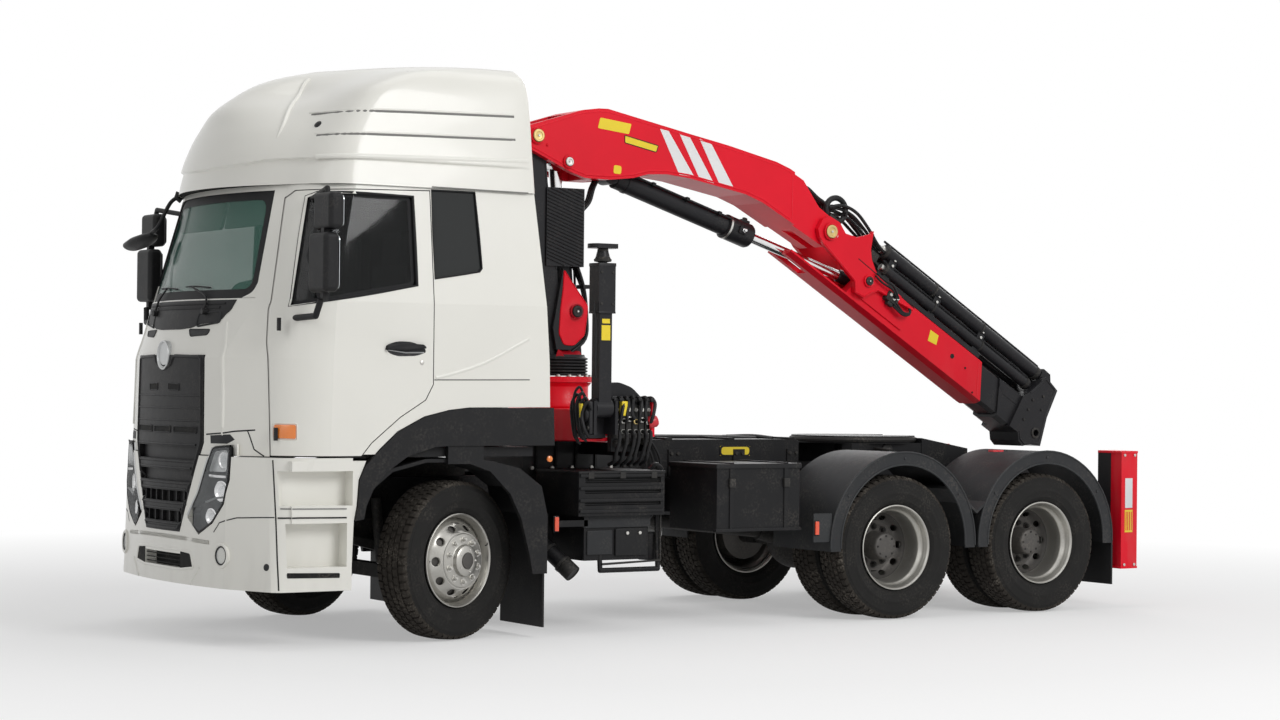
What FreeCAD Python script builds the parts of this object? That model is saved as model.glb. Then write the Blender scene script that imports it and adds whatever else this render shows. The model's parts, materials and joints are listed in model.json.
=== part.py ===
"""Knuckle boom truck crane: a 6x4 sleeper-cab tractor with a folding crane behind the cab.

Millimetres. X is forward, Y to the truck's left, Z up. Everything is laid out from the
front axle on the ground and moved once, on export, so that the origin is bottom centre.
"""
import FreeCAD, Part
import math
import os

V = FreeCAD.Vector
os.makedirs("parts", exist_ok=True)

# ---- driving dimensions ------------------------------------------------------------
origin_shift = 2278.0           # front axle ahead of the middle of the truck
wheelbase = 3600.0              # front axle to first rear axle
bogie_pitch = 1370.0            # first to second rear axle
hub_z = 515.0                   # wheel centre, also the tyre's loaded radius
tyre_width = 280.0
rim_radius = 298.0              # over the rim flange
front_track_y = 1010.0          # tyre centre from the middle plane
outer_twin_y = 1090.0
inner_twin_y = 757.0
kingpin_y = 835.0
spindle_radius = 40.0
axle_radius = 68.0
fit_gap = 0.06                  # radial, of a running fit
steer_at_rest = 18.0            # degrees to the left

rail_y = 430.0                  # outer face of a frame rail
rail_web = 9.0
rail_flange = 85.0
rail_top_z = 1030.0
rail_height = 270.0
rail_front_x = 1080.0
rail_rear_x = -5840.0
subframe_top_z = 1262.0

cab_half_width = 1245.0
cab_wall = 45.0
cab_rear_x = -538.0             # front of the rear panel
cab_floor_z = 1185.0
belt_z = 2160.0
seam_z = 2900.0                 # joint of body and high roof
roof_top_z = 3722.0
panel_gap = 6.0                 # round a door

slew_x = -1490.0
boom_pin = V(-1190, 0, 3390)
lift_pin = V(-1446, 0, 3221)
lift_foot = V(-1530, 0, 2170)
knuckle = V(-3744, 0, 2821)
outer_slope = 31.0              # degrees that the outer boom falls at rest
fold_foot = V(-1890, 0, 3161)
fold_eye_u, fold_eye_v = 500.0, -120.0
tip_u, tip_v = 2560.0, -230.0
boom_half = 190.0
fender_x = (-3640.0, -4985.0)   # centres of the two rear arches
fender_z = 540.0
fender_radius = 655.0
fender_low_z = 500.0
running_gap = 6.0

beam_z = 1385.0
beam_size = 170.0
leg_pivot_z = 1500.0
left_beam_x, right_beam_x = -1105.0, -1325.0
leg_y = 1205.0


# ---- helpers -----------------------------------------------------------------------
def box(x0, x1, y0, y1, z0, z1):
    return Part.makeBox(x1 - x0, y1 - y0, z1 - z0, V(x0, y0, z0))


def face_of(points):
    return Part.Face(Part.makePolygon(points + points[:1]))


def side_plate(outline, y0, y1):
    """Outline of (x, z) points, extruded across the truck."""
    face = face_of([V(x, y0, z) for x, z in outline])
    return face.extrude(V(0, y1 - y0, 0))


def end_plate(outline, x0, x1):
    """Outline of (y, z) points, extruded along the truck."""
    face = face_of([V(x0, y, z) for y, z in outline])
    return face.extrude(V(x1 - x0, 0, 0))


def floor_plate(outline, z0, z1):
    """Outline of (x, y) points, extruded upwards."""
    face = face_of([V(x, y, z0) for x, y in outline])
    return face.extrude(V(0, 0, z1 - z0))


def rod(start, end, radius):
    return Part.makeCylinder(radius, (end - start).Length, start, end - start)


def cross_rod(x, z, radius, y0, y1):
    return Part.makeCylinder(radius, y1 - y0, V(x, y0, z), V(0, 1, 0))


def fuse(shapes):
    shapes = list(shapes)
    return shapes[0].multiFuse(shapes[1:]).removeSplitter() if len(shapes) > 1 else shapes[0]


def mirrored(shape):
    return shape.mirror(V(0, 0, 0), V(0, 1, 0))


def pair(shape):
    """The shape and its mirror image, as solids that don't touch."""
    return Part.makeCompound([shape, mirrored(shape)])


def turned(shape, centre, axis, degrees):
    copy = shape.copy()
    copy.rotate(centre, axis, degrees)
    return copy


def bar(points, radius):
    """A round bar through the points, with a ball at each corner."""
    pieces = [rod(a, b, radius) for a, b in zip(points[:-1], points[1:])]
    pieces += [Part.makeSphere(radius, p) for p in points[1:-1]]
    return fuse(pieces)


nodes = {}


# ---- wheels ------------------------------------------------------------------------
def ring(profile, centre):
    """(radius, y) outline turned round the wheel's own axis."""
    face = face_of([V(centre.x + r, centre.y + y, centre.z) for r, y in profile])
    return face.revolve(centre, V(0, 1, 0), 360)


def tyre(centre):
    half = tyre_width / 2
    bead = rim_radius - 12
    profile = [(bead, -90), (rim_radius + 2, -96), (rim_radius + 42, -half + 6), (rim_radius + 120, -half),
               (hub_z - 40, -half + 14), (hub_z - 6, -half + 40), (hub_z, -60),
               (hub_z, 60), (hub_z - 6, half - 40), (hub_z - 40, half - 14),
               (rim_radius + 120, half), (rim_radius + 42, half - 6), (rim_radius + 2, 96), (bead, 90)]
    return ring(profile, centre)


def rim(centre, toward):
    """A steel rim whose disc bulges towards +Y (toward = 1) or -Y (toward = -1)."""
    well = rim_radius - 24
    hoop = ring([(rim_radius - 13, -122), (rim_radius, -122), (rim_radius, -104),
                 (rim_radius - 14, -99), (rim_radius - 14, 99), (rim_radius, 104),
                 (rim_radius, 122), (rim_radius - 13, 122), (well, 96), (well, -96)], centre)
    outline = [(70, 146), (168, 146), (196, 132), (228, 96), (well + 4, 60),
               (well + 4, 76), (238, 108), (204, 146), (174, 160), (70, 160)]
    disc = ring([(r, y * toward) for r, y in outline], centre)
    for k in range(10):
        angle = math.radians(36 * k + 18)
        hole = V(centre.x + 214 * math.cos(angle), centre.y - 200, centre.z + 214 * math.sin(angle))
        disc = disc.cut(Part.makeCylinder(20, 400, hole, V(0, 1, 0)))
    return fuse([hoop, disc])


def hub_part(x, y0, y1, radius, side):
    return cross_rod(x, hub_z, radius, min(y0 * side, y1 * side), max(y0 * side, y1 * side))


def front_wheel(side):
    centre = V(0, front_track_y * side, hub_z)
    swing = (V(0, kingpin_y * side, hub_z), V(0, 0, 1), steer_at_rest)
    face_y = front_track_y + 150
    wheel = fuse([rim(centre, side), hub_part(0, 925, face_y, 150, side),
                  hub_part(0, face_y - 10, face_y + 45, 92, side)])
    wheel = wheel.cut(hub_part(0, 920, 1090, spindle_radius + fit_gap, side))
    return turned(tyre(centre), *swing), turned(wheel, *swing)


def twin_wheel(x, side):
    outer = V(x, outer_twin_y * side, hub_z)
    inner = V(x, inner_twin_y * side, hub_z)
    tyres = Part.makeCompound([tyre(outer), tyre(inner)])
    middle = (outer_twin_y + inner_twin_y) / 2
    rims = fuse([rim(outer, -side), rim(inner, side), hub_part(x, middle - 12, middle + 12, 170, side),
                 hub_part(x, 650, middle, 200, side), hub_part(x, middle, middle + 170, 98, side)])
    rims = rims.cut(hub_part(x, 640, 900, axle_radius + fit_gap, side))
    return tyres, rims


wheel_rows = [("1", -wheelbase), ("2", -wheelbase - bogie_pitch)]
for side_name, side in (("left", 1), ("right", -1)):
    nodes["tyre_front_" + side_name], nodes["rim_front_" + side_name] = front_wheel(side)
    for row, x in wheel_rows:
        key = "rear" + row + "_" + side_name
        nodes["tyre_" + key], nodes["rim_" + key] = twin_wheel(x, side)


# ---- axles and steering ------------------------------------------------------------
def knuckle_piece(side):
    """Forked round the axle's eye, with the spindle outside and the steering arm behind."""
    inside, outside = kingpin_y - 45, kingpin_y + 78

    def block(x0, x1, y0, y1, z0, z1):
        return box(x0, x1, min(y0 * side, y1 * side), max(y0 * side, y1 * side), hub_z + z0, hub_z + z1)

    fork = [block(-45, 45, inside, outside, 93, 140), block(-45, 45, inside, outside, -140, -93)]
    cheek = [block(-45, 45, kingpin_y + 56, outside, -140, 140),
             hub_part(0, kingpin_y + 56, outside, 105, side)]
    pins = [Part.makeCylinder(24, 80, V(0, kingpin_y * side, hub_z + z), V(0, 0, 1)) for z in (90, -170)]
    arm = block(-260, -20, 770, 815, -140, -104)
    return fuse(fork + cheek + pins + [arm, hub_part(0, outside - 10, 1085, spindle_radius, side)])


for side_name, side in (("left", 1), ("right", -1)):
    nodes["knuckle_" + side_name] = turned(knuckle_piece(side), V(0, kingpin_y * side, hub_z),
                                           V(0, 0, 1), steer_at_rest)


def front_axle():
    beam = end_plate([(-815, 560), (-700, 560), (-560, 440), (560, 440), (700, 560), (815, 560),
                      (815, 470), (735, 470), (600, 350), (-600, 350), (-735, 470), (-815, 470)], -45, 45)
    eyes = [Part.makeCylinder(50, 176, V(0, kingpin_y * s, hub_z - 88), V(0, 0, 1)) for s in (1, -1)]
    springs = []
    for s in (1, -1):
        y0 = 385.0 * s - 40
        springs += [side_plate([(-720, 700), (-40, 520), (60, 520), (720, 700), (720, 728), (60, 590),
                                (-40, 590), (-720, 728)], y0, y0 + 80),
                    box(-80, 80, y0, y0 + 80, 430, 560),
                    box(660, 740, y0 + 2, y0 + 78, 700, 760), box(-740, -660, y0 + 2, y0 + 78, 700, 760)]
    return fuse([beam] + eyes + springs)


nodes["front_axle"] = front_axle()


def rear_axles():
    pieces = []
    for row, x in wheel_rows:
        pieces += [cross_rod(x, hub_z, axle_radius, -890, 890), Part.makeSphere(225, V(x, 0, hub_z)),
                   cross_rod(x, hub_z, 120, -240, 240)]
        pieces += [rod(V(x + 190, 0, hub_z + 20), V(x + 360, 0, hub_z + 60), 62)]
    middle = -wheelbase - bogie_pitch / 2
    for s in (1, -1):
        y0 = 500.0 * s - 45
        pieces += [side_plate([(middle - 760, hub_z + 60), (middle, hub_z + 150), (middle + 760, hub_z + 60),
                               (middle + 760, hub_z + 100), (middle, hub_z + 235), (middle - 760, hub_z + 100)],
                              y0, y0 + 90),
                   cross_rod(middle, hub_z + 190, 70, min(430 * s, 555 * s), max(430 * s, 555 * s)),
                   box(-wheelbase - 70, -wheelbase + 70, y0, y0 + 90, hub_z - 60, hub_z + 110),
                   box(-wheelbase - bogie_pitch - 70, -wheelbase - bogie_pitch + 70, y0, y0 + 90,
                       hub_z - 60, hub_z + 110)]
    shaft = rod(V(-wheelbase + 340, 0, hub_z + 60), V(-1492, 0, 760), 50)
    link = rod(V(-wheelbase - 180, 0, hub_z + 30), V(-wheelbase - bogie_pitch + 330, 0, hub_z + 55), 45)
    return fuse(pieces + [shaft, link])


nodes["rear_axles"] = rear_axles()
nodes["engine"] = fuse([box(-560, 860, -335, 335, 600, 1130), box(-1480, -560, -230, 230, 600, 960)])


# ---- chassis -----------------------------------------------------------------------
def chassis():
    z0, z1 = rail_top_z - rail_height, rail_top_z
    pieces = []
    for s in (1, -1):
        channel = [(rail_y * s, z0), (rail_y * s, z1), ((rail_y - rail_flange) * s, z1),
                   ((rail_y - rail_flange) * s, z1 - rail_web), ((rail_y - rail_web) * s, z1 - rail_web),
                   ((rail_y - rail_web) * s, z0 + rail_web), ((rail_y - rail_flange) * s, z0 + rail_web),
                   ((rail_y - rail_flange) * s, z0)]
        pieces.append(end_plate(channel, rail_rear_x, rail_front_x))
        pieces.append(box(-3300, -1760, min(rail_y * s, (rail_y - 75) * s), max(rail_y * s, (rail_y - 75) * s),
                          rail_top_z, subframe_top_z))
    inner = rail_y - rail_web
    for x, low in ((rail_front_x - 60, z0), (-1700, z0 + 150), (-2700, z0 + 150), (-4285, z0 + 60),
                   (rail_rear_x + 40, z0)):
        pieces.append(box(x - 40, x + 40, -inner, inner, low, z1 - rail_web))
    pieces.append(box(rail_front_x, rail_front_x + 60, -700, 700, 560, 820))
    return fuse(pieces)


nodes["chassis_frame"] = chassis()


def fifth_wheel():
    """Coupling plate with its throat open to the rear, on a base across the rails."""
    x, z = -4130.0, 1235.0
    plate = Part.makeCylinder(470, 55, V(x, 0, z), V(0, 0, 1))
    plate = plate.cut(box(x - 480, x, -26, 26, z - 1, z + 56))
    throat = face_of([V(x - 480, -210, z - 1), V(x - 150, -26, z - 1), V(x - 150, 26, z - 1),
                      V(x - 480, 210, z - 1)]).extrude(V(0, 0, 60))
    plate = plate.cut(throat).cut(Part.makeCylinder(25.4, 60, V(x, 0, z - 1), V(0, 0, 1)))
    jaw = box(x - 110, x + 60, -150, 150, z - 60, z)
    jaw = jaw.cut(Part.makeCylinder(25.4, 70, V(x, 0, z - 62), V(0, 0, 1)))
    jaw = jaw.cut(box(x - 115, x, -26, 26, z - 62, z + 2))
    feet = [box(x - 330, x + 330, s * 360 - 60, s * 360 + 60, 1082, z + 2) for s in (1, -1)]
    base = box(x - 420, x + 420, -430, 430, rail_top_z, 1085)
    ramps = [side_plate([(x - 330, rail_top_z), (x - 330, z + 40), (x - 780, z - 40), (x - 780, rail_top_z)],
                        min(s * 230, s * 425), max(s * 230, s * 425)) for s in (1, -1)]
    return fuse([plate, jaw, base] + feet + ramps)


nodes["fifth_wheel"] = fifth_wheel()


# ---- cab shell ---------------------------------------------------------------------
# Plan sections of the cab: height, nose x, shoulder x and y (end of the front's curve),
# corner x and y (start of the round corner), where the side begins, its half width, the back.
cab_sections = [
    # z,      nose,  sh_x,  sh_y, co_x,  co_y, side_x, half,  back
    (870.0, 1490, 1400, 760, 1245, 1010, 900, 1245, -700),
    (1800.0, 1485, 1392, 705, 1215, 985, 880, 1245, -680),
    (belt_z, 1400, 1228, 850, 1190, 945, 860, 1245, -655),
    (seam_z, 1180, 1045, 750, 1010, 825, 700, 1165, -595),
]
roof_sections = [
    (seam_z, 1268, 1092, 712, 1020, 850, 690, 1184, -606),
    (3000.0, 1250, 1079, 692, 1003, 832, 672, 1171, -605),
    (3170.0, 1212, 1020, 665, 940, 800, 640, 1146, -604),
    (3290.0, 1181, 956, 630, 870, 770, 600, 1132, -603),
    (3420.0, 1127, 851, 506, 770, 690, 520, 1114, -602),
    (3530.0, 995, 705, 330, 640, 570, 420, 1096, -600),
    (3610.0, 860, 640, 270, 540, 490, 250, 1068, -598),
    (3670.0, 700, 560, 230, 430, 460, 60, 1020, -594),
    (roof_top_z, 480, 420, 180, 290, 430, -380, 925, -585),
]
bumper_sections = [
    (360.0, 1490, 1415, 832, 1268, 1205, 1180, 1245, -700),
    (1188.0, 1490, 1398, 812, 1240, 1060, 1000, 1245, -700),
]


def plan_wire(z, nose, sh_x, sh_y, co_x, co_y, side_x, half, back):
    mid_x = co_x - (co_x - side_x) * 0.36
    mid_y = co_y + (half - co_y) * 0.62
    edges = [Part.LineSegment(V(back, -half, z), V(side_x, -half, z)).toShape(),
             Part.Arc(V(side_x, -half, z), V(mid_x, -mid_y, z), V(co_x, -co_y, z)).toShape(),
             Part.LineSegment(V(co_x, -co_y, z), V(sh_x, -sh_y, z)).toShape(),
             Part.Arc(V(sh_x, -sh_y, z), V(nose, 0, z), V(sh_x, sh_y, z)).toShape(),
             Part.LineSegment(V(sh_x, sh_y, z), V(co_x, co_y, z)).toShape(),
             Part.Arc(V(co_x, co_y, z), V(mid_x, mid_y, z), V(side_x, half, z)).toShape(),
             Part.LineSegment(V(side_x, half, z), V(back, half, z)).toShape(),
             Part.LineSegment(V(back, half, z), V(back, -half, z)).toShape()]
    return Part.Wire(edges)


def shrunk(section, wall, z_step=0.0):
    z, nose, sh_x, sh_y, co_x, co_y, side_x, half, back = section
    diagonal = wall * 0.55
    return (z + z_step, nose - wall, sh_x - wall, sh_y - wall * 0.2, co_x - wall * 0.85, co_y - diagonal,
            side_x - wall * 0.2, half - wall, back + wall)


def loft(sections):
    return Part.makeLoft([plan_wire(*section) for section in sections], True, True)


def shell(sections, closed_top):
    outer = loft(sections)
    inner = [shrunk(section, cab_wall) for section in sections]
    if closed_top:
        inner[-1] = shrunk(sections[-1], cab_wall, -cab_wall)
    return outer.cut(loft(inner))


door_outline = [(1212, 1190), (1212, 1900), (1194, 2110), (1034, 2815), (995, 2862), (175, 2885), (175, 1646),
                (230, 1545), (410, 1435), (610, 1273), (680, 1190)]
door_window = [(1108, 2130), (300, 2275), (305, 2835), (900, 2840), (955, 2812)]
quarter_window = [(165, 2320), (-160, 2375), (-180, 2400), (-150, 2885), (165, 2885)]
arch_trim = [(738, 370), (722, 790), (704, 884), (692, 1046), (655, 1130), (555, 1233), (429, 1345), (239, 1440),
             (60, 1482), (-86, 1498), (-713, 1501)]
arch_cut = [(x + 3, z + 4) for x, z in arch_trim] + [(-800, 1505), (-800, 300)]
screen_outline = [(-835, 2178), (835, 2178), (742, 2866), (-742, 2866)]
door_front = [(955, 800), (955, 1900), (918, 2110), (800, 2905), (1400, 2905), (1400, 800)]
far = cab_half_width + 40
near = 700.0


def outline_prism(outline, shrink=0.0, y0=near, y1=far):
    face = face_of([V(x, y0, z) for x, z in outline])
    if shrink:
        face = face.makeOffset2D(-shrink, 2)
    return face.extrude(V(0, y1 - y0, 0))


def cab():
    body = shell(cab_sections, False)
    roof = shell(roof_sections, True)
    opening = outline_prism(door_outline).common(end_plate([(y - panel_gap, z) for y, z in door_front], -800, 1600))
    leaf = outline_prism(door_outline, panel_gap).common(end_plate(door_front, -800, 1600))
    window = outline_prism(door_window)
    quarter = outline_prism(quarter_window)
    arch = outline_prism(arch_cut)
    door = body.common(leaf).cut(window)
    sides = body.cut(opening).cut(quarter).cut(arch)
    sides = sides.cut(mirrored(opening)).cut(mirrored(quarter)).cut(mirrored(arch))
    screen = end_plate(screen_outline, 700, 1600)
    front_zone = box(700, 1600, -1300, 1300, 800, seam_z + 1)
    rear_zone = box(-800, cab_rear_x, -1300, 1300, 800, seam_z + 1)
    low_nose = box(900, 1600, -1300, 1300, 800, 1190)
    front = sides.common(front_zone).cut(screen).cut(low_nose)
    rear = sides.common(rear_zone).cut(box(-800, 0, -1300, 1300, 800, cab_floor_z + 20))
    middle = sides.cut(front_zone).cut(rear_zone).cut(box(-800, 1600, -1300, 1300, 800, cab_floor_z + 20))
    return roof, door, front, rear, middle, window, quarter


roof_shell, door_leaf, cab_front, cab_rear, cab_sides, window_prism, quarter_prism = cab()


def biggest(shape, count=1):
    solids = sorted(shape.Solids, key=lambda s: -s.Volume)[:count]
    return solids[0] if count == 1 else Part.makeCompound(solids)


nodes["cab_front"] = biggest(cab_front)
nodes["cab_rear"] = biggest(cab_rear)
nodes["cab_sides"] = biggest(cab_sides, 2)
nodes["cab_roof"] = biggest(roof_shell)
nodes["door_left"] = biggest(door_leaf)
nodes["door_right"] = mirrored(nodes["door_left"])


def pane(prism, inset):
    """A pane of glass set into the wall, thinner than the wall all round."""
    outer = loft([shrunk(section, inset) for section in cab_sections])
    inner = loft([shrunk(section, inset + 8) for section in cab_sections])
    return biggest(outer.cut(inner).common(prism))


side_pane = pane(window_prism, 20)
quarter_pane = pane(quarter_prism, 12)
screen_pane = pane(end_plate(screen_outline, 700, 1600), 14)
nodes["glass_left"] = side_pane
nodes["glass_right"] = mirrored(side_pane)
nodes["cab_glass"] = Part.makeCompound([screen_pane, quarter_pane, mirrored(quarter_pane)])


def cab_floor():
    """Floor with the engine tunnel raised in the middle, and the roof of the wheel arches."""
    half = cab_half_width - cab_wall - 8
    slab = floor_plate([(-590, -half), (880, -half), (1150, -880), (1340, -480), (1340, 480), (1150, 880),
                        (880, half), (-590, half)], cab_floor_z, cab_floor_z + 60)
    tunnel = box(-590, 1000, -480, 480, cab_floor_z + 60, cab_floor_z + 240)
    tunnel = tunnel.cut(box(-591, 990, -440, 440, cab_floor_z - 1, cab_floor_z + 200))
    slab = slab.cut(box(-591, 990, -440, 440, cab_floor_z - 1, cab_floor_z + 61))
    return fuse([slab, tunnel])


nodes["cab_floor"] = cab_floor()


def interior():
    """Dashboard with its steering wheel, two seats and the bunk."""
    dash = floor_plate([(1010, -1000), (1120, -850), (1290, -450), (1290, 450), (1120, 850), (1010, 1000),
                        (860, 1000), (860, -1000)], 1700, 2080)
    column = rod(V(930, 560, 1960), V(700, 560, 2060), 30)
    wheel = Part.makeTorus(215, 17, V(680, 560, 2070), V(-230, 0, 100))
    spoke = box(-6, 6, -205, 205, -22, 22)
    spoke.rotate(V(0, 0, 0), V(0, 1, 0), 23.5)
    spoke.translate(V(690, 560, 2065))
    pieces = [fuse([dash, column, wheel, spoke])]
    for s in (1, -1):
        y = 610.0 * s
        pieces.append(fuse([box(180, 640, y - 250, y + 250, 1560, 1690),
                            side_plate([(150, 1600), (270, 1600), (170, 2420), (60, 2420)], y - 240, y + 240),
                            side_plate([(75, 2430), (165, 2430), (150, 2640), (70, 2640)], y - 130, y + 130),
                            box(90, 150, y - 60, y + 60, 2400, 2450),
                            box(230, 590, y - 110, y + 110, 1248, 1562)]))
    pieces.append(box(-580, -40, -1150, 1150, 1660, 1800))
    return Part.makeCompound(pieces)


nodes["cab_interior"] = interior()


# ---- cab front end -----------------------------------------------------------------
def nose_band(rows, z0, z1, depth, grow=0.0):
    """A slice of the skin through two plan sections between two heights, moved out by grow."""
    low, mid = rows

    def at(z, inset):
        t = (z - low[0]) / (mid[0] - low[0])
        section = tuple(a + (b - a) * t for a, b in zip(low, mid))
        return shrunk((z,) + section[1:], inset)

    outer = loft([at(z0, -grow), at(z1, -grow)])
    inner = loft([at(z0 - 1, depth - grow), at(z1 + 1, depth - grow)])
    return outer.cut(inner)


grille_outline = [(-525, 1820), (525, 1820), (542, 1265), (275, 690), (-275, 690), (-542, 1265)]
lamp_outline = [(668, 1239), (835, 1255), (833, 1040), (794, 888), (680, 767), (524, 690), (387, 787), (517, 947),
                (602, 1123)]


def grille():
    band = nose_band(cab_sections[:2], 690, 1822, 40, 4)
    outline = end_plate(grille_outline, 1000, 1600)
    frame = band.common(outline)
    bars = []
    for z0, z1, half in ((1150, 1235, 470), (1010, 1085, 420), (880, 950, 370), (750, 820, 300)):
        bars.append(box(1000, 1600, -half, half, z0, z1))
    for cutter in bars:
        frame = frame.cut(cutter)
    back = nose_band(cab_sections[:2], 692, 1820, 52, -30).common(end_plate(grille_outline, 1000, 1600))
    return fuse([frame, back])


nodes["grille"] = biggest(grille())
grille_gap = end_plate([(y * 1.012, z) for y, z in grille_outline], 1000, 1700)
lamp_gap = face_of([V(900, y, z) for y, z in lamp_outline]).makeOffset2D(6, 2).extrude(V(700, 0, 0))
nodes["cab_front"] = biggest(nodes["cab_front"].cut(grille_gap).cut(lamp_gap).cut(mirrored(lamp_gap)))


def headlamps():
    band = nose_band(bumper_sections, 685, 1262, 60, 2)
    lamp = biggest(band.common(end_plate(lamp_outline, 900, 1600)).common(box(900, 1600, 450, 1300, 600, 1300)))
    return pair(lamp)


nodes["headlamps"] = headlamps()


def bumper():
    """Painted bumper with the lamp surrounds above it and a step box behind each corner."""
    low = nose_band(bumper_sections, 360, 1183, 55)
    low = low.common(box(740, 1600, -1300, 1300, 360, 1183))
    lower = low.cut(grille_gap)
    lower = lower.cut(lamp_gap).cut(mirrored(lamp_gap))
    lower = lower.cut(box(1300, 1600, -290, 290, 460, 550))
    for s in (1, -1):
        for x0, x1, z0, z1 in ((775, 1180, 508, 780), (735, 1205, 888, 1102)):
            lower = lower.cut(box(x0, x1, min(1130 * s, 1300 * s), max(1130 * s, 1300 * s), z0, z1))
    steps = []
    step_sides = [(1150, 370), (1150, 1165), (644, 1165)] + [(x + 4, z) for x, z in arch_trim[4::-1]]
    for s in (1, -1):
        box_step = side_plate(step_sides, min(1000 * s, 1238 * s), max(1000 * s, 1238 * s))
        for x0, x1, z0, z1 in ((775, 1180, 508, 780), (735, 1205, 888, 1102)):
            box_step = box_step.cut(box(x0, x1, min(1130 * s, 1300 * s), max(1130 * s, 1300 * s), z0, z1))
        steps.append(box_step)
    inner = box(1140, 1240, -900, 900, 470, 620)
    return fuse([lower, inner] + steps)


nodes["bumper"] = biggest(bumper())


def mudguards():
    """Black arch trim over each front wheel, the liner inside it and the flap behind."""
    skin_inner = [(-722, 1256), (-200, 1256), (60, 1256), (166, 1248), (354, 1192), (508, 1090), (599, 980),
                  (644, 880), (660, 800)]
    skin = side_plate([point for point in arch_trim[1:] if point[1] > 785] + skin_inner, 1205, 1250)
    liner = side_plate([(-668, 420), (-668, 800), (-628, 985), (-470, 1098), (-250, 1150), (-100, 1172), (205, 1172),
                        (460, 1110), (610, 1000), (672, 880), (672, 810), (650, 810), (645, 880), (590, 975),
                        (440, 1092), (200, 1150), (-100, 1150), (-245, 1130), (-455, 1078), (-610, 970),
                        (-648, 800), (-648, 420)], 560, 1206)
    edge = side_plate([(-100, 1172), (-250, 1160), (-470, 1108), (-635, 990), (-682, 800), (-682, 420), (-575, 420),
                       (-545, 560), (-485, 780), (-400, 945), (-250, 1090), (-100, 1140)], 1200, 1236)
    tie = box(-200, 60, 1200, 1236, 1140, 1262)
    flap = box(-664, -650, 680, 1232, 70, 440)
    return pair(fuse([skin, liner, edge, tie, flap]))


nodes["mudguards"] = mudguards()


def mirror(side):
    """Two glasses one above the other on a post, with an arm to the door at each end."""
    y = cab_half_width
    arm = [V(925, 990, 2800), V(990, y + 110, 2850), V(1000, y + 150, 2740)]
    low_arm = [V(1085, 1070, 2050), V(1060, y + 110, 2060), V(1045, y + 150, 2160)]
    heads = [box(952, 1048, y + 25, y + 272, 2592, 2820), box(978, 1080, y + 25, y + 272, 2205, 2572)]
    piece = fuse([bar(arm, 17), bar(low_arm, 20), heads[0].makeFillet(30, heads[0].Edges),
                  heads[1].makeFillet(32, heads[1].Edges), box(1000, 1040, y + 130, y + 170, 2150, 2740)])
    return piece if side > 0 else mirrored(piece)


nodes["mirror_left"] = mirror(1).cut(loft(cab_sections))
nodes["mirror_left"] = biggest(nodes["mirror_left"])
nodes["mirror_right"] = mirrored(nodes["mirror_left"])


# ---- side equipment ----------------------------------------------------------------
def side_equipment():
    """Left: ribbed air box, battery box and tank hoop. Right: fuel tank and battery box."""
    rib_box = box(-1670, -990, 560, 1120, 780, 1070)
    for z in (850, 930, 1000):
        rib_box = rib_box.cut(box(-1640, -1040, 1090, 1121, z, z + 35))
    lower = box(-1580, -1070, 600, 1060, 480, 790)
    hoop = bar([V(-1200, 1040, 600), V(-1200, 1060, 412), V(-1660, 1060, 412), V(-1660, 1040, 800)], 17)
    carrier = box(-1600, -1100, rail_y, 620, 820, 1000)
    left = fuse([rib_box, lower, hoop, carrier])
    battery = fuse([box(-2760, -2060, 600, 1180, 660, 1110), box(-2700, -2120, rail_y, 620, 780, 1000)])
    tank = box(-2760, -1060, 560, 1110, 480, 1080)
    tank = tank.makeFillet(90, [e for e in tank.Edges if abs(e.tangentAt(e.FirstParameter).x) > 0.9])
    tank_carrier = box(-2500, -1300, rail_y, 620, 800, 1000)
    right = mirrored(fuse([tank, tank_carrier]))
    return Part.makeCompound([left, battery, right])


nodes["side_equipment"] = side_equipment()


def exhaust():
    pipe = bar([V(-900, 380, 640), V(-900, 760, 600), V(-1040, 970, 390)], 55)
    can = cross_rod(-900, 620, 130, 440, 720)
    return fuse([pipe, can])


nodes["exhaust"] = exhaust()


def arch(centre_x, r_in, r_out, y0, y1):
    """Half ring over a wheel, open below fender_low_z."""
    outer = Part.makeCylinder(r_out, y1 - y0, V(centre_x, y0, fender_z), V(0, 1, 0))
    ring_part = outer.cut(Part.makeCylinder(r_in, y1 - y0, V(centre_x, y0, fender_z), V(0, 1, 0)))
    return ring_part.cut(box(centre_x - 800, centre_x + 800, y0 - 1, y1 + 1, -300, fender_low_z))


def rear_fenders():
    """One double-arch fender a side: skin, flat band along its edge, valley and brackets."""
    thick, band = 14.0, 88.0
    pieces = []
    for centre_x in fender_x:
        pieces.append(arch(centre_x, fender_radius - thick, fender_radius, 560, 1250))
        pieces.append(arch(centre_x, fender_radius - band, fender_radius, 1238, 1250))
        pieces.append(box(centre_x - 30, centre_x + 30, rail_y, 620, 960, 1020))
        pieces.append(box(centre_x - 30, centre_x + 30, 562, 622, 1010, fender_z + fender_radius - 8))
    middle = sum(fender_x) / 2
    pieces.append(side_plate([(middle - 230, 925), (middle, 745), (middle + 230, 925), (middle + 230, 945),
                              (middle, 765), (middle - 230, 945)], 560, 1250))
    return fuse(pieces)


nodes["rear_fenders"] = pair(rear_fenders())


def rear_end():
    """Boxed rear corners, the beam between them, and a flap behind each fender."""
    corner = box(-5900, -5738, 985, 1245, 300, 1190).cut(box(-5905, -5760, 1005, 1225, 320, 1170))
    beam = box(-5900, -5842, -990, 990, 640, 762)
    flap = box(-5662, -5648, 800, 1235, 185, 600)
    hanger = box(-5740, -5648, 985, 1040, 560, 610)
    return fuse([beam, corner, mirrored(corner), flap, mirrored(flap), hanger, mirrored(hanger)])


nodes["rear_end"] = rear_end()


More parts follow.
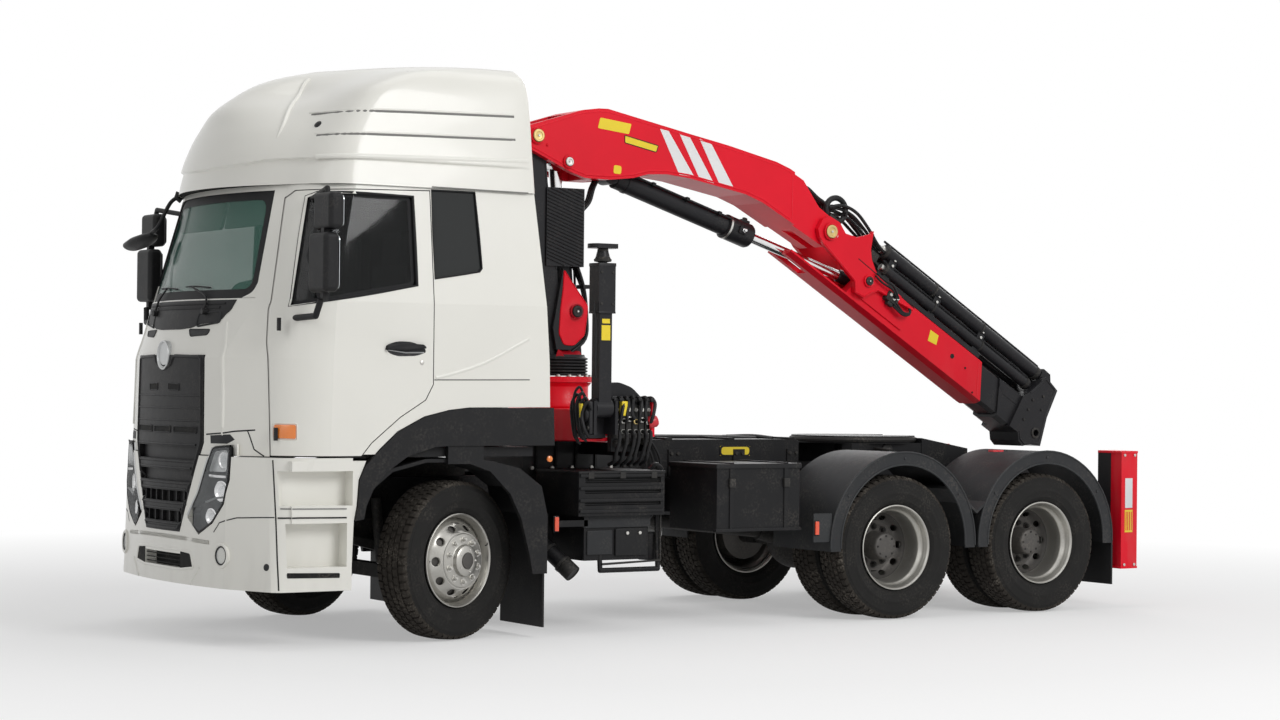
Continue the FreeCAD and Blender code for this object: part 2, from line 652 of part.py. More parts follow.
# ---- crane base and stabilisers ----------------------------------------------------
def crane_base():
    """Cross box on the frame, the two beam housings and the round slewing housing."""
    plinth = box(-1755, -960, -rail_y, rail_y, rail_top_z, 1290)
    housings = []
    for x in (left_beam_x, right_beam_x):
        half = beam_size / 2
        outer = box(x - half - 18, x + half + 18, -1085, 1085, beam_z - half - 18, beam_z + half + 18)
        housings.append(outer)
    tower = Part.makeCylinder(215, 420, V(slew_x, 0, 1290), V(0, 0, 1))
    flange = Part.makeCylinder(250, 40, V(slew_x, 0, 1670), V(0, 0, 1))
    skirt = box(slew_x - 250, slew_x + 130, -300, 300, 1288, 1480)
    base = fuse([plinth, tower, flange, skirt] + housings)
    for x in (left_beam_x, right_beam_x):
        half = beam_size / 2 + running_gap
        base = base.cut(box(x - half, x + half, -1090, 1090, beam_z - half, beam_z + half))
    return base


nodes["crane_base"] = crane_base()


def beam(x, side):
    half = beam_size / 2
    tube = box(x - half, x + half, -1000, leg_y - 80, beam_z - half, beam_z + half)
    tube = tube.cut(box(x - half + 10, x + half - 10, -1001, 900, beam_z - half + 10, beam_z + half - 10))
    cheeks = [box(x - 94, x - 72, leg_y - 110, leg_y + 62, beam_z - 60, leg_pivot_z + 50),
              box(x + 72, x + 94, leg_y - 110, leg_y + 62, beam_z - 60, leg_pivot_z + 50)]
    cap = box(x - 94, x + 94, leg_y - 110, leg_y - 80, beam_z - 60, leg_pivot_z + 50)
    pin = Part.makeCylinder(26, 208, V(x - 104, leg_y, leg_pivot_z), V(1, 0, 0))
    piece = fuse([tube, cap, pin] + cheeks)
    return piece if side > 0 else mirrored(piece)


def leg(x, side):
    """Square leg tube round its pivot, swung up; the foot's ram comes out at the top."""
    low = box(x - 48, x + 48, leg_y - 48, leg_y + 48, leg_pivot_z, 2140)
    root = Part.makeCylinder(62, 124, V(x - 62, leg_y, leg_pivot_z), V(1, 0, 0))
    high = box(x - 64, x + 64, leg_y - 62, leg_y + 62, 2130, 2460)
    tube = fuse([low, root, high])
    tube = tube.cut(Part.makeCylinder(34, 900, V(x, leg_y, 1580), V(0, 0, 1)))
    tube = tube.cut(Part.makeCylinder(26 + fit_gap, 140, V(x - 70, leg_y, leg_pivot_z), V(1, 0, 0)))
    return tube if side > 0 else mirrored(tube)


def foot(x, side):
    ram = Part.makeCylinder(30, 940, V(x, leg_y, 1610), V(0, 0, 1))
    neck = Part.makeCone(56, 32, 90, V(x, leg_y, 2472), V(0, 0, 1))
    pad = Part.makeCylinder(102, 30, V(x, leg_y, 2560), V(0, 0, 1))
    piece = fuse([ram, neck, pad])
    piece = piece.common(box(x - 110, x + 110, leg_y - 65, leg_y + 65, 1500, 2700))
    return piece if side > 0 else mirrored(piece)


for side_name, side, x in (("left", 1, left_beam_x), ("right", -1, right_beam_x)):
    nodes["beam_" + side_name] = beam(x, side)
    nodes["leg_" + side_name] = leg(x, side)
    nodes["foot_" + side_name] = foot(x, side)


def control_valves():
    """Valve bank with its levers, on a bracket from the base."""
    block = box(-1525, -1215, 1096, 1196, 1200, 1590)
    arm = box(-1520, -1420, rail_y, 1196, 1175, 1262)
    levers = [rod(V(-1500 + 50 * k, 1160, 1570), V(-1506 + 50 * k, 1212, 1672), 8) for k in range(6)]
    return fuse([block, arm] + levers)


nodes["control_valves"] = control_valves()


# ---- crane -------------------------------------------------------------------------
def column():
    """Leaning column on its slewing tube, forked at its foot for the lift cylinder."""
    trunk = side_plate([(-1360, 1840), (-1610, 1840), (-1600, 1960), (-1430, 2060), (-1400, 2450),
                        (-1308, 3080), (-1285, 3340), (-1240, 3455), (-1130, 3455), (-1075, 3390),
                        (-1080, 3080), (-1210, 2450), (-1290, 2100)], -130, 130)
    tube = Part.makeCylinder(190, 150, V(slew_x, 0, 1716), V(0, 0, 1))
    leaves = [side_plate([(-1430, 2470), (-1635, 2210), (-1610, 2000), (-1500, 1900), (-1380, 1900),
                          (-1350, 2050)], y0, y0 + 32) for y0 in (132, -164)]
    spacers = [box(-1440, -1380, -133, 133, 1950, 2050)]
    pins = [cross_rod(lift_foot.x, lift_foot.z, 42, 92, 190), cross_rod(lift_foot.x, lift_foot.z, 42, -190, -92)]
    head = trunk.cut(cross_rod(boom_pin.x, boom_pin.z, 45.05, -140, 140))
    return fuse([head, tube] + leaves + spacers + pins)


nodes["crane_column"] = column()


def cylinder_parts(foot, eye, barrel_r, rod_r, barrel_share, foot_half, eye_half):
    """Barrel pinned at its foot and chromed rod ending in an eye."""
    along = (eye - foot)
    along.normalize()
    length = (eye - foot).Length
    mouth = length * barrel_share
    barrel = rod(foot + along * (barrel_r * 0.9), foot + along * mouth, barrel_r)
    lug = cross_rod(foot.x, foot.z, barrel_r * 0.95, -foot_half, foot_half)
    gland = rod(foot + along * (mouth - 60), foot + along * mouth, barrel_r + 8)
    barrel = fuse([barrel, lug, gland])
    bore = rod(foot + along * (barrel_r + 30), foot + along * (mouth + 5), rod_r + 0.05)
    barrel = barrel.cut(bore)
    ram = rod(foot + along * (barrel_r + 60), eye - along * (eye_half * 0.6), rod_r)
    eye_ring = cross_rod(eye.x, eye.z, eye_half, -eye_half * 0.8, eye_half * 0.8)
    return barrel, fuse([ram, eye_ring])


lift_barrel, lift_rod = cylinder_parts(lift_foot, lift_pin, 80.0, 45.0, 0.82, 86.0, 60.0)
nodes["lift_barrel"], nodes["lift_rod"] = lift_barrel, lift_rod


def main_boom():
    """Box boom, forked at its root round the column head and narrowed at its knuckle."""
    top = [(-1110, 3455), (-1565, 3595), (-1692, 3614), (-1772, 3616), (-2478, 3479), (-2817, 3416),
           (-3250, 3320), (-3373, 3277), (-3525, 3199), (-3670, 3005), (-3780, 2935), (-3850, 2860),
           (-3850, 2780), (-3800, 2715), (-3714, 2707)]
    bottom = [(-3132, 3010), (-2975, 3066), (-2482, 3157), (-2283, 3177), (-2118, 3169), (-1988, 3135),
              (-1794, 3114), (-1587, 3114), (-1476, 3148), (-1349, 3202), (-1146, 3290), (-1080, 3380)]
    body = side_plate(top + bottom, -boom_half, boom_half)
    slot = side_plate([(-1000, 3000), (-1000, 3700), (-1400, 3700), (-1560, 3400), (-1640, 3200), (-1640, 3000)],
                      -137, 137)
    body = body.cut(slot)
    neck = side_plate([(-3420, 2600), (-3420, 3400), (-4000, 3400), (-4000, 2600)], -400, 400)
    cheek = neck.cut(box(-4100, -3300, -155, 155, 2500, 3500))
    body = body.cut(cheek)
    pocket = side_plate([(-1770, 3000), (-1770, 3265), (-1960, 3265), (-2280, 3150), (-2280, 3000)], -100, 100)
    body = body.cut(pocket)
    pins = [cross_rod(boom_pin.x, boom_pin.z, 45, -boom_half - 12, boom_half + 12),
            cross_rod(lift_pin.x, lift_pin.z, 40, 120, boom_half + 10),
            cross_rod(lift_pin.x, lift_pin.z, 40, -boom_half - 10, -120),
            cross_rod(fold_foot.x, fold_foot.z, 34, 70, 128), cross_rod(fold_foot.x, fold_foot.z, 34, -128, -70)]
    body = body.cut(cross_rod(knuckle.x, knuckle.z, 50.05, -300, 300))
    body = body.cut(side_plate([(-3400, 2600), (-3400, 2850), (-3640, 2794), (-3744, 2765), (-3900, 2735),
                                (-3900, 2600)], -48, 48))
    return fuse([body] + pins)


nodes["main_boom"] = main_boom()

slope = math.radians(outer_slope)
along_u = V(-math.cos(slope), 0, -math.sin(slope))
along_v = V(-math.sin(slope), 0, math.cos(slope))


def outer_point(u, v, y=0.0):
    return knuckle + along_u * u + along_v * v + V(0, y, 0)


def outer_plate(outline, y0, y1):
    face = face_of([outer_point(u, v, y0) for u, v in outline])
    return face.extrude(V(0, y1 - y0, 0))


def outer_section(u, half, low, keel, high, crown):
    """Box with bevelled edges across the outer boom at u."""
    corners = [(half, low), (half, high), (half * 0.8, crown), (-half * 0.8, crown), (-half, high), (-half, low),
               (-half * 0.6, keel), (half * 0.6, keel)]
    return [outer_point(u, v, y) for y, v in corners]


def outer_tube(u0, u1, half, low, keel, high, crown):
    face = face_of(outer_section(u0, half, low, keel, high, crown))
    return face.extrude(along_u * (u1 - u0))


fold_eye = outer_point(fold_eye_u, fold_eye_v)
box_half = 150.0


def outer_boom():
    """Bevelled box on two lug plates; its open root lets the fold cylinder's rod through."""
    tube = outer_tube(-200, 1975, box_half, -300, -322, -30, -15)
    tube = tube.cut(outer_plate([(-400, -286), (395, -286), (455, -110), (500, -20), (500, 50), (-400, 50)], -300, 300))
    tube = tube.cut(outer_plate([(1790, 10), (1957, -305), (1972, -460), (2400, -460), (2400, 10)], -300, 300))
    bore = outer_tube(600, 2100, box_half - 14, -292, -308, -38, -29)
    tube = tube.cut(bore).cut(outer_plate([(-400, -500), (-400, 0), (60, 0), (60, -500)], -48, 48))
    tube = tube.cut(outer_plate([(0, -280), (0, 0), (585, 0), (585, -200), (500, -280)], -56, 56))
    plates = [outer_plate([(-105, -40), (-105, 50), (-60, 100), (40, 110), (130, 70), (237, 105), (337, 200),
                           (345, 232), (372, 160), (397, 95), (440, 40), (513, -11), (581, -39), (755, -45),
                           (985, -53), (985, -80), (620, -130), (530, -250), (440, -262), (392, -190),
                           (189, -150), (8, -114), (-60, -86)], y0, y0 + 38) for y0 in (162, -200)]
    ties = [outer_plate([(440, -255), (985, -255), (985, -60), (560, -60), (480, -110)], y0, y0 + 14)
            for y0 in (box_half - 1, -box_half - 13)]
    pins = [cross_rod(knuckle.x, knuckle.z, 50, -215, 215),
            cross_rod(fold_eye.x, fold_eye.z, 36, 54, 210), cross_rod(fold_eye.x, fold_eye.z, 36, -210, -54)]
    return fuse([tube] + plates + ties + pins)


nodes["outer_boom"] = outer_boom()


ram_rows = [
    # y,   v,   outer radius, rod radius, start u, end u
    (60, 222, 52, 26, 590, 2405),
    (-60, 222, 52, 26, 590, 2405),
    (78, 92, 44, 20, 640, 2350),
    (-78, 92, 44, 20, 640, 2350),
]


def ram_rod(y, v, radius, u0, u1):
    return rod(outer_point(u0, v, y), outer_point(u1, v, y), radius)


def extension():
    """Inner boom section with its head at the tip, which carries the rods of the rams."""
    half = box_half - 14 - running_gap
    tube = outer_tube(620, 2500, half, -286, -301, -46, -36)
    head = outer_plate([(2300, -45), (2340, 20), (2427, 212), (2583, 178), (2600, -60), (2658, -292), (2560, -335),
                        (2500, -385), (2440, -370), (2400, -318), (2300, -318)], -172, 172)
    crest = outer_plate([(2410, 60), (2420, 282), (2500, 278), (2560, 190), (2560, 60)], -108, 108)
    collar = outer_tube(2010, 2310, box_half - 5, -302, -320, -42, -26)
    collar = collar.cut(outer_plate([(1990, -500), (1990, 0), (2020, 0), (2170, -320), (2180, -500)], -300, 300))
    rods = [ram_rod(y, v, rod_r, u0 + 160, 2450) for y, v, outer_r, rod_r, u0, u1 in ram_rows]
    hole = cross_rod(outer_point(tip_u, tip_v).x, outer_point(tip_u, tip_v).z, 25.0, -300, 300)
    return fuse([tube, head, crest, collar] + rods).cut(hole)


nodes["boom_extension"] = extension()


def ram_pack():
    """Four extension cylinders along the top of the outer boom, on saddles."""
    tubes = [ram_rod(y, v, outer_r, u0, u1) for y, v, outer_r, rod_r, u0, u1 in ram_rows]
    saddles = [outer_plate([(u, -14), (u, 222), (u + 70, 222), (u + 70, -14)], -95, 95) for u in (660, 1180, 1700)]
    rails = [outer_plate([(600, -14), (1780, -14), (1780, 22), (600, 22)], y0, y0 + 30) for y0 in (96, -126)]
    pack = fuse(tubes + rails + saddles)
    for y, v, outer_r, rod_r, u0, u1 in ram_rows:
        pack = pack.cut(ram_rod(y, v, rod_r + fit_gap, u0 + 130, u1 + 5))
    return pack


nodes["extension_rams"] = ram_pack()

fold_barrel, fold_rod = cylinder_parts(fold_foot, fold_eye, 73.0, 38.0, 0.558, 64.0, 60.0)
nodes["fold_barrel"], nodes["fold_rod"] = fold_barrel, fold_rod


# ---- export ------------------------------------------------------------------------
def report_joints():
    """The pivots in the exported frame, in metres."""
    shift = V(origin_shift, 0, 0)
    places = {"boom_pin": boom_pin, "lift_pin": lift_pin, "lift_foot": lift_foot, "knuckle": knuckle,
              "fold_foot": fold_foot, "fold_eye": fold_eye, "tip": outer_point(tip_u, tip_v)}
    for name, place in places.items():
        point = (place + shift) * 0.001
        print(name, [round(value, 5) for value in point])


whole = Part.makeCompound(list(nodes.values()))
limits = whole.BoundBox
print("extent", round(limits.XMin), round(limits.XMax), round(limits.YMin), round(limits.YMax),
      round(limits.ZMin), round(limits.ZMax))
report_joints()
for name, shape in nodes.items():
    placed = shape.copy()
    placed.translate(V(origin_shift, 0, 0))
    placed.exportStep("parts/" + name + ".step")
    if not placed.isValid():
        print("invalid", name)
print(len(nodes), "nodes")
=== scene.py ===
"""Looks of the knuckle boom truck crane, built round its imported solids.

Lengths are millimetres from the front axle on the ground, X forward, Y to the truck's left
and Z up, as the part's source has them; at() turns them into the frame's metres.
"""
import json
import math
import bmesh
import bpy
from mathutils import Matrix, Vector
from mathutils.bvhtree import BVHTree
from mathutils.geometry import delaunay_2d_cdt, interpolate_bezier


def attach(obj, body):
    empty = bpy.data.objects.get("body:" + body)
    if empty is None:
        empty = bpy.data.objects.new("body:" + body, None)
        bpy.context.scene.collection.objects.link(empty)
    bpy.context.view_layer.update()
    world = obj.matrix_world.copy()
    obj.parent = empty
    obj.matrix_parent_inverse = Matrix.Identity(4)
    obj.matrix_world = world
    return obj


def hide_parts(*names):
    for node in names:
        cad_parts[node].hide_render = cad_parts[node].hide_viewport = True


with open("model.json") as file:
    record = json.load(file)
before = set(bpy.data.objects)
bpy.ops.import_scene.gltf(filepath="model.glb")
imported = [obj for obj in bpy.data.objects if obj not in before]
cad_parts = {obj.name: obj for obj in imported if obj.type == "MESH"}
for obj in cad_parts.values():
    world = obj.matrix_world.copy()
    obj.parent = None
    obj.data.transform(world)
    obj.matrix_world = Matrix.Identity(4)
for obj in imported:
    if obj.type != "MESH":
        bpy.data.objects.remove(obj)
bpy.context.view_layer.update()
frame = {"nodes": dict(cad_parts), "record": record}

nodes = frame["nodes"]
joints = {joint["name"]: joint for joint in frame["record"]["behaviour"]["joints"]}
front_axle_x = joints["steering_left"]["pos_m"][0]


def at(x, y, z):
    """A place given in millimetres from the front axle, in the frame's metres."""
    return Vector((front_axle_x + x / 1000, y / 1000, z / 1000))


# ---- materials ---------------------------------------------------------------------
mixed_colour = 2  # the colour result among a Mix node's outputs
dust = (0.30, 0.27, 0.23)


def operator(operation, swapped=False):
    """A method of Value that adds one Math node."""
    def method(value, other):
        return value.maths(operation, *((other, value) if swapped else (value, other)))
    return method


class Value:
    """A socket of a finish, on which Python's operators add Math nodes."""

    def __init__(self, finish, node, output=0):
        self.finish, self.owner = finish, node
        self.socket = node.outputs[output]

    def out(self, name):
        return Value(self.finish, self.owner, name)

    def maths(self, operation, *values):
        return self.finish.node("ShaderNodeMath", {"operation": operation}, dict(enumerate(values)))

    __add__ = __radd__ = operator("ADD")
    __sub__ = operator("SUBTRACT")
    __rsub__ = operator("SUBTRACT", swapped=True)
    __mul__ = __rmul__ = operator("MULTIPLY")
    __gt__ = operator("GREATER_THAN")
    __lt__ = operator("LESS_THAN")

    def wave(self, period):
        """From 0 to 1 and back once in each period."""
        return self.maths("PINGPONG", self, period / 2) * (2 / period)

    def between(self, low, high):
        """0 below low, 1 above high and a straight rise between them."""
        inputs = {0: self, 1: low, 2: high, 3: 0.0, 4: 1.0}
        return self.finish.node("ShaderNodeMapRange", {"clamp": True}, inputs)


class Finish:
    """A procedural material on one Principled shader."""

    def __init__(self, name, colour, roughness, metallic=0.0, **sockets):
        self.material = bpy.data.materials.new(name)
        self.material.use_nodes = True
        self.tree = self.material.node_tree
        self.shader = self.tree.nodes["Principled BSDF"]
        self.material.diffuse_color = (*colour, 1.0)
        self.colour = colour
        self.set("Base Color", (*colour, 1.0))
        self.set("Roughness", roughness)
        self.set("Metallic", metallic)
        for socket, value in sockets.items():
            self.set(socket.replace("_", " "), value)

    def set(self, socket, value):
        target = self.shader.inputs[socket]
        if isinstance(value, Value):
            self.tree.links.new(value.socket, target)
        else:
            target.default_value = value

    def node(self, kind, settings=None, inputs=None):
        node = self.tree.nodes.new(kind)
        for name, value in (settings or {}).items():
            setattr(node, name, value)
        for key, value in (inputs or {}).items():
            if isinstance(value, Value):
                self.tree.links.new(value.socket, node.inputs[key])
            else:
                node.inputs[key].default_value = value
        return Value(self, node)

    def vector(self, operation, *values):
        return self.node("ShaderNodeVectorMath", {"operation": operation}, dict(enumerate(values)))

    def place(self):
        return self.node("ShaderNodeTexCoord").out("Object")

    def axes(self):
        """The object's own X, Y and Z at the shaded point."""
        parts = self.node("ShaderNodeSeparateXYZ", None, {0: self.place()})
        return parts.out("X"), parts.out("Y"), parts.out("Z")

    def noise(self, scale, detail=3.0, stretch=(1, 1, 1)):
        inputs = {"Vector": self.vector("MULTIPLY", self.place(), stretch), "Scale": scale, "Detail": detail}
        return self.node("ShaderNodeTexNoise", None, inputs).out("Fac")

    def base(self):
        """The mixed colour that feeds the base colour."""
        mixer = self.shader.inputs["Base Color"].links[0].from_socket.node
        return Value(self, mixer, mixed_colour)

    def mix(self, factor, first, second):
        """The first colour where factor is 0 and the second where it is 1."""
        settings = {"data_type": "RGBA", "blend_type": "MIX"}
        inputs = {0: factor}
        for key, colour in ((6, first), (7, second)):
            inputs[key] = colour if isinstance(colour, Value) else (*colour, 1.0)
        return self.node("ShaderNodeMix", settings, inputs).out(mixed_colour)

    def bump(self, height, strength, distance):
        inputs = {"Strength": strength, "Distance": distance, "Height": height}
        self.set("Normal", self.node("ShaderNodeBump", None, inputs))
        return self


def painted(name, colour, shade, roughness=0.28, coat=0.35, dirt=0.5, dirt_top=1.5, shine=0.4):
    """Gloss paint: a little uneven in tone, dusty and duller towards the ground."""
    finish = Finish(name, colour, roughness, Coat_Roughness=0.08, Coat_Weight=coat, Specular_IOR_Level=shine)
    tone = finish.mix(finish.noise(1.7, 4.0).between(0.35, 0.7), colour, shade)
    height = finish.axes()[2]
    low = 1.0 - height.between(0.25, dirt_top)
    streaks = finish.noise(9.0, 6.0, (1.0, 1.0, 0.25)).between(0.42, 0.75)
    grime = low * streaks * dirt
    finish.set("Base Color", finish.mix(grime, tone, dust))
    finish.set("Roughness", roughness + grime * 0.5 + finish.noise(35.0, 2.0) * 0.06)
    return finish.bump(finish.noise(420.0, 1.0), 0.05, 0.0004)


def cab_shell_paint_and_shade(name, inside_shade):
    """Gloss paint outside, and near-black painted shade of the cab's inside on the faces that look in at the
    cab's middle.
    """
    finish = painted(name, *cab_white, **cab_gloss)
    from_middle = finish.vector("SUBTRACT", finish.place(), at(300, 0, 2250))
    normal = finish.node("ShaderNodeTexCoord").out("Normal")
    inside = finish.vector("DOT_PRODUCT", from_middle, normal).out("Value") < 0.0
    finish.set("Base Color", finish.mix(inside, finish.base(), inside_shade))
    finish.set("Coat Weight", cab_gloss["coat"] - inside * cab_gloss["coat"])
    return finish


def dusty(name, colour, roughness, amount, metallic=0.0, grain=260.0, strength=0.12):
    """Plastic, rubber or matt paint with dust caught in its grain."""
    finish = Finish(name, colour, roughness, metallic, Specular_IOR_Level=0.19)
    patches = finish.noise(6.0, 7.0).between(0.44, 0.74)
    specks = finish.noise(70.0, 3.0).between(0.45, 0.8)
    film = patches * specks * amount
    finish.set("Base Color", finish.mix(film, colour, dust))
    finish.set("Roughness", roughness + film * 0.25 + finish.noise(18.0, 3.0) * 0.1 - 0.05)
    return finish.bump(finish.noise(grain, 2.0), strength, 0.0006)


def polished(name, colour, roughness, grain=(1, 1, 1)):
    """Bare or plated metal with smears."""
    finish = Finish(name, colour, roughness, 1.0)
    smears = finish.noise(14.0, 5.0, grain).between(0.4, 0.75)
    finish.set("Roughness", roughness + smears * 0.16)
    finish.set("Base Color", finish.mix(smears * 0.35, colour, tuple(c * 0.72 for c in colour)))
    return finish.bump(finish.noise(120.0, 2.0, grain), 0.05, 0.0003)


def glazed(name, colour, roughness=0.02, alpha=0.45):
    """Clear glass or plastic with a thin film of dirt."""
    finish = Finish(name, colour, roughness, Specular_IOR_Level=0.3, Coat_Roughness=0.02)
    film = finish.noise(3.0, 5.0).between(0.4, 0.8)
    finish.set("Alpha", alpha + film * 0.08)
    finish.set("Roughness", roughness + film * 0.05)
    return finish


def woven(name, colour):
    """Cloth with a fine weave."""
    finish = Finish(name, colour, 0.9, Sheen_Weight=0.3)
    x, y, z = finish.axes()
    weave = (x + y).wave(0.004) * z.wave(0.004)
    finish.set("Base Color", finish.mix(weave * 0.5, colour, tuple(c * 2.2 + 0.02 for c in colour)))
    return finish.bump(weave, 0.4, 0.001)


# Each pair is a paint's colour and its darker tone.
cab_white = ((0.82, 0.81, 0.755), (0.80, 0.79, 0.735))
cab_gloss = {"roughness": 0.26, "coat": 0.3, "dirt": 0.12, "dirt_top": 0.9, "shine": 0.3}
cab_paint = painted("cab_paint", *cab_white, **cab_gloss)
# The near-black is painted shade on the shell's inner faces.
cab_shell_finish = cab_shell_paint_and_shade("cab_shell_paint_and_shade", (0.022, 0.023, 0.024))
crane_red = ((0.78, 0.005, 0.022), (0.70, 0.004, 0.018))
crane_gloss = {"roughness": 0.36, "coat": 0.06, "dirt": 0.2, "dirt_top": 2.2, "shine": 0.22}
crane_paint = painted("crane_paint", *crane_red, **crane_gloss)
# A darker copy of the crane red: painted shade on the column's low cover and the lift cylinder foot pin's
# ring.
shaded_red = ((0.42, 0.006, 0.016), (0.33, 0.005, 0.013))
shaded_red_paint = painted("shaded_red_paint", *shaded_red, 0.42, 0.04, 0.3, 2.0, 0.2)
frame_paint = dusty("frame_paint", (0.010, 0.010, 0.011), 0.48, 0.20)
crane_black_paint = dusty("crane_black_paint", (0.016, 0.016, 0.018), 0.36, 0.12, grain=500.0, strength=0.05)
cast_iron = dusty("cast_iron", (0.035, 0.034, 0.033), 0.62, 0.45, 0.3, 180.0, 0.3)
wheel_paint = dusty("wheel_paint", (0.50, 0.49, 0.46), 0.42, 0.55, 0.75, 300.0, 0.08)
# Wheel paint at a quarter of its brightness: painted shade on the inner barrels, recessed discs and hubs of
# the wheels.
shaded_wheel_paint = dusty("shaded_wheel_paint", (0.10, 0.095, 0.09), 0.55, 0.5, 0.5, 200.0, 0.15)
tyre_rubber = dusty("tyre_rubber", (0.016, 0.0155, 0.015), 0.80, 0.16, grain=340.0, strength=0.2)
tread_rubber = dusty("tread_rubber", (0.030, 0.026, 0.022), 0.86, 0.75, grain=200.0, strength=0.4)
fender_plastic = dusty("fender_plastic", (0.034, 0.036, 0.038), 0.5, 0.2, grain=600.0, strength=0.1)
bright_wheel_paint = dusty("bright_wheel_paint", (0.46, 0.45, 0.42), 0.34, 0.7, 0.85, 300.0, 0.06)
# The near-black below stands in for shade: painted shade in openings, slots, holes, seams and recesses, and
# inside the cab, the lamps and the wheels.
shade_black = dusty("shade_black", (0.012, 0.012, 0.012), 0.8, 0.3)
rubber = dusty("rubber", (0.018, 0.018, 0.018), 0.72, 0.35, grain=340.0, strength=0.2)
black_plastic = dusty("black_plastic", (0.012, 0.012, 0.013), 0.5, 0.14, grain=700.0, strength=0.15)
grey_plastic = dusty("grey_plastic", (0.028, 0.029, 0.031), 0.55, 0.25, grain=500.0, strength=0.12)
seal_rubber = dusty("seal_rubber", (0.012, 0.012, 0.013), 0.6, 0.08)
hose_rubber = dusty("hose_rubber", (0.014, 0.014, 0.015), 0.45, 0.12, grain=900.0, strength=0.1)
chrome = polished("chrome", (0.80, 0.80, 0.80), 0.10)
zinc = polished("zinc", (0.58, 0.57, 0.54), 0.32)
tank_metal = polished("tank_metal", (0.62, 0.62, 0.61), 0.28, (0.2, 1, 1))
window = glazed("window_glass", (0.020, 0.110, 0.085), 0.02, 0.32)
door_window = glazed("door_window_glass", (0.004, 0.005, 0.005), 0.02, 0.55)
screen_green = (0.10, 0.27, 0.21)
cab_window = glazed("cab_window_glass", screen_green, 0.02, 0.30)
# Glass behind the windscreen is near-opaque near-black: painted shade of the cab's inside.
behind = cab_window.axes()[0] < at(700, 0, 0).x
cab_window.set("Base Color", cab_window.mix(behind, screen_green, (0.024, 0.026, 0.026)))
cab_window.set("Alpha", 0.30 + behind * 0.66)
lens = glazed("lamp_lens", (0.55, 0.58, 0.60), 0.03, 0.28)
amber = Finish("amber_lens", (0.85, 0.22, 0.02), 0.2, Coat_Weight=0.8)
amber.bump(amber.axes()[2].wave(0.006), 0.3, 0.001)
marker_lens = Finish("marker_lens", (0.80, 0.07, 0.015), 0.2, Coat_Weight=0.8)
red_lens = Finish("red_lens", (0.55, 0.01, 0.01), 0.2, Coat_Weight=0.8)
red_lens.bump(red_lens.axes()[2].wave(0.006), 0.3, 0.001)
cloth = woven("seat_cloth", (0.05, 0.05, 0.055))
clear_lens = glazed("clear_lens", (0.75, 0.78, 0.80), 0.03, 0.16)
stripe_white = painted("stripe_white", (0.82, 0.82, 0.82), (0.78, 0.78, 0.78), 0.35, 0.2, 0.1)
plate_yellow = painted("plate_yellow", (0.86, 0.66, 0.02), (0.80, 0.60, 0.02), 0.4, 0.2, 0.3)
plate_white = painted("plate_white", (0.74, 0.76, 0.78), (0.70, 0.72, 0.74), 0.4, 0.2, 0.3)
red_plastic = painted("red_plastic", (0.60, 0.02, 0.03), (0.50, 0.02, 0.03), 0.4, 0.2, 0.3)
brass = polished("brass", (0.62, 0.47, 0.20), 0.3)
mirror_glass = polished("mirror_glass", (0.75, 0.78, 0.80), 0.02)
silver_paint = dusty("silver_paint", (0.52, 0.53, 0.53), 0.34, 0.2, 0.6, 500.0, 0.05)
# Grey strips of painted shadow that stand for the shade in grooves and seams.
seam_shadow_grey = dusty("seam_shadow", (0.20, 0.20, 0.19), 0.6, 0.1)

slot_finish = {"tyre": rubber, "rim": wheel_paint, "frame_black": frame_paint, "axle_iron": cast_iron,
               "cab_white": cab_paint, "crane_red": crane_paint, "crane_black": crane_black_paint,
               "chrome_rod": chrome, "black_plastic": black_plastic, "grey_plastic": grey_plastic,
               "window_glass": window, "lamp_lens": lens, "seat_cloth": cloth}


def dress(node, finish):
    """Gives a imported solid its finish."""
    for slot in nodes[node].material_slots:
        slot.material = finish.material


for subpart in frame["record"]["subparts"]:
    dress(subpart["node"], slot_finish[subpart["material_slot"]])
for shell_node in ("cab_front", "cab_rear", "cab_sides", "door_left", "door_right"):
    dress(shell_node, cab_shell_finish)


def partly_black(name, black):
    """Crane red with the black paint where the test of the place gives 1."""
    finish = painted(name, *crane_red, **crane_gloss)
    finish.set("Base Color", finish.mix(black(*finish.axes()), finish.base(), (0.018, 0.018, 0.019)))
    return finish


dress("rear_end", partly_black("rear_corner_paint", lambda x, y, z: (x > at(-5715, 0, 0).x)
                               + (x > at(-5742, 0, 0).x) * (y * y < 1.277)))
dress("crane_base", partly_black("crane_foot_paint", lambda x, y, z: z < 1.262))
dress("cab_glass", cab_window)
for door_glass in ("glass_left", "glass_right"):
    dress(door_glass, door_window)

# ---- mesh making -------------------------------------------------------------------
def facing(origin, along, upward=(0, 0, 1)):
    """A place whose own Z runs along a direction, with its own Y as near upward as it can."""
    z = Vector(along).normalized()
    side = Vector(upward).cross(z)
    x = side.normalized() if side.length > 0.001 else Vector((1, 0, 0))
    y = z.cross(x)
    rows = [(x[i], y[i], z[i], origin[i]) for i in range(3)]
    return Matrix(rows + [(0, 0, 0, 1)])


def round_steps(count):
    """Angles of equal steps round a full turn."""
    return [2 * math.pi * k / count for k in range(count)]


def circle(radius, count, squeeze=1.0):
    return [(radius * math.cos(a), radius * squeeze * math.sin(a)) for a in round_steps(count)]


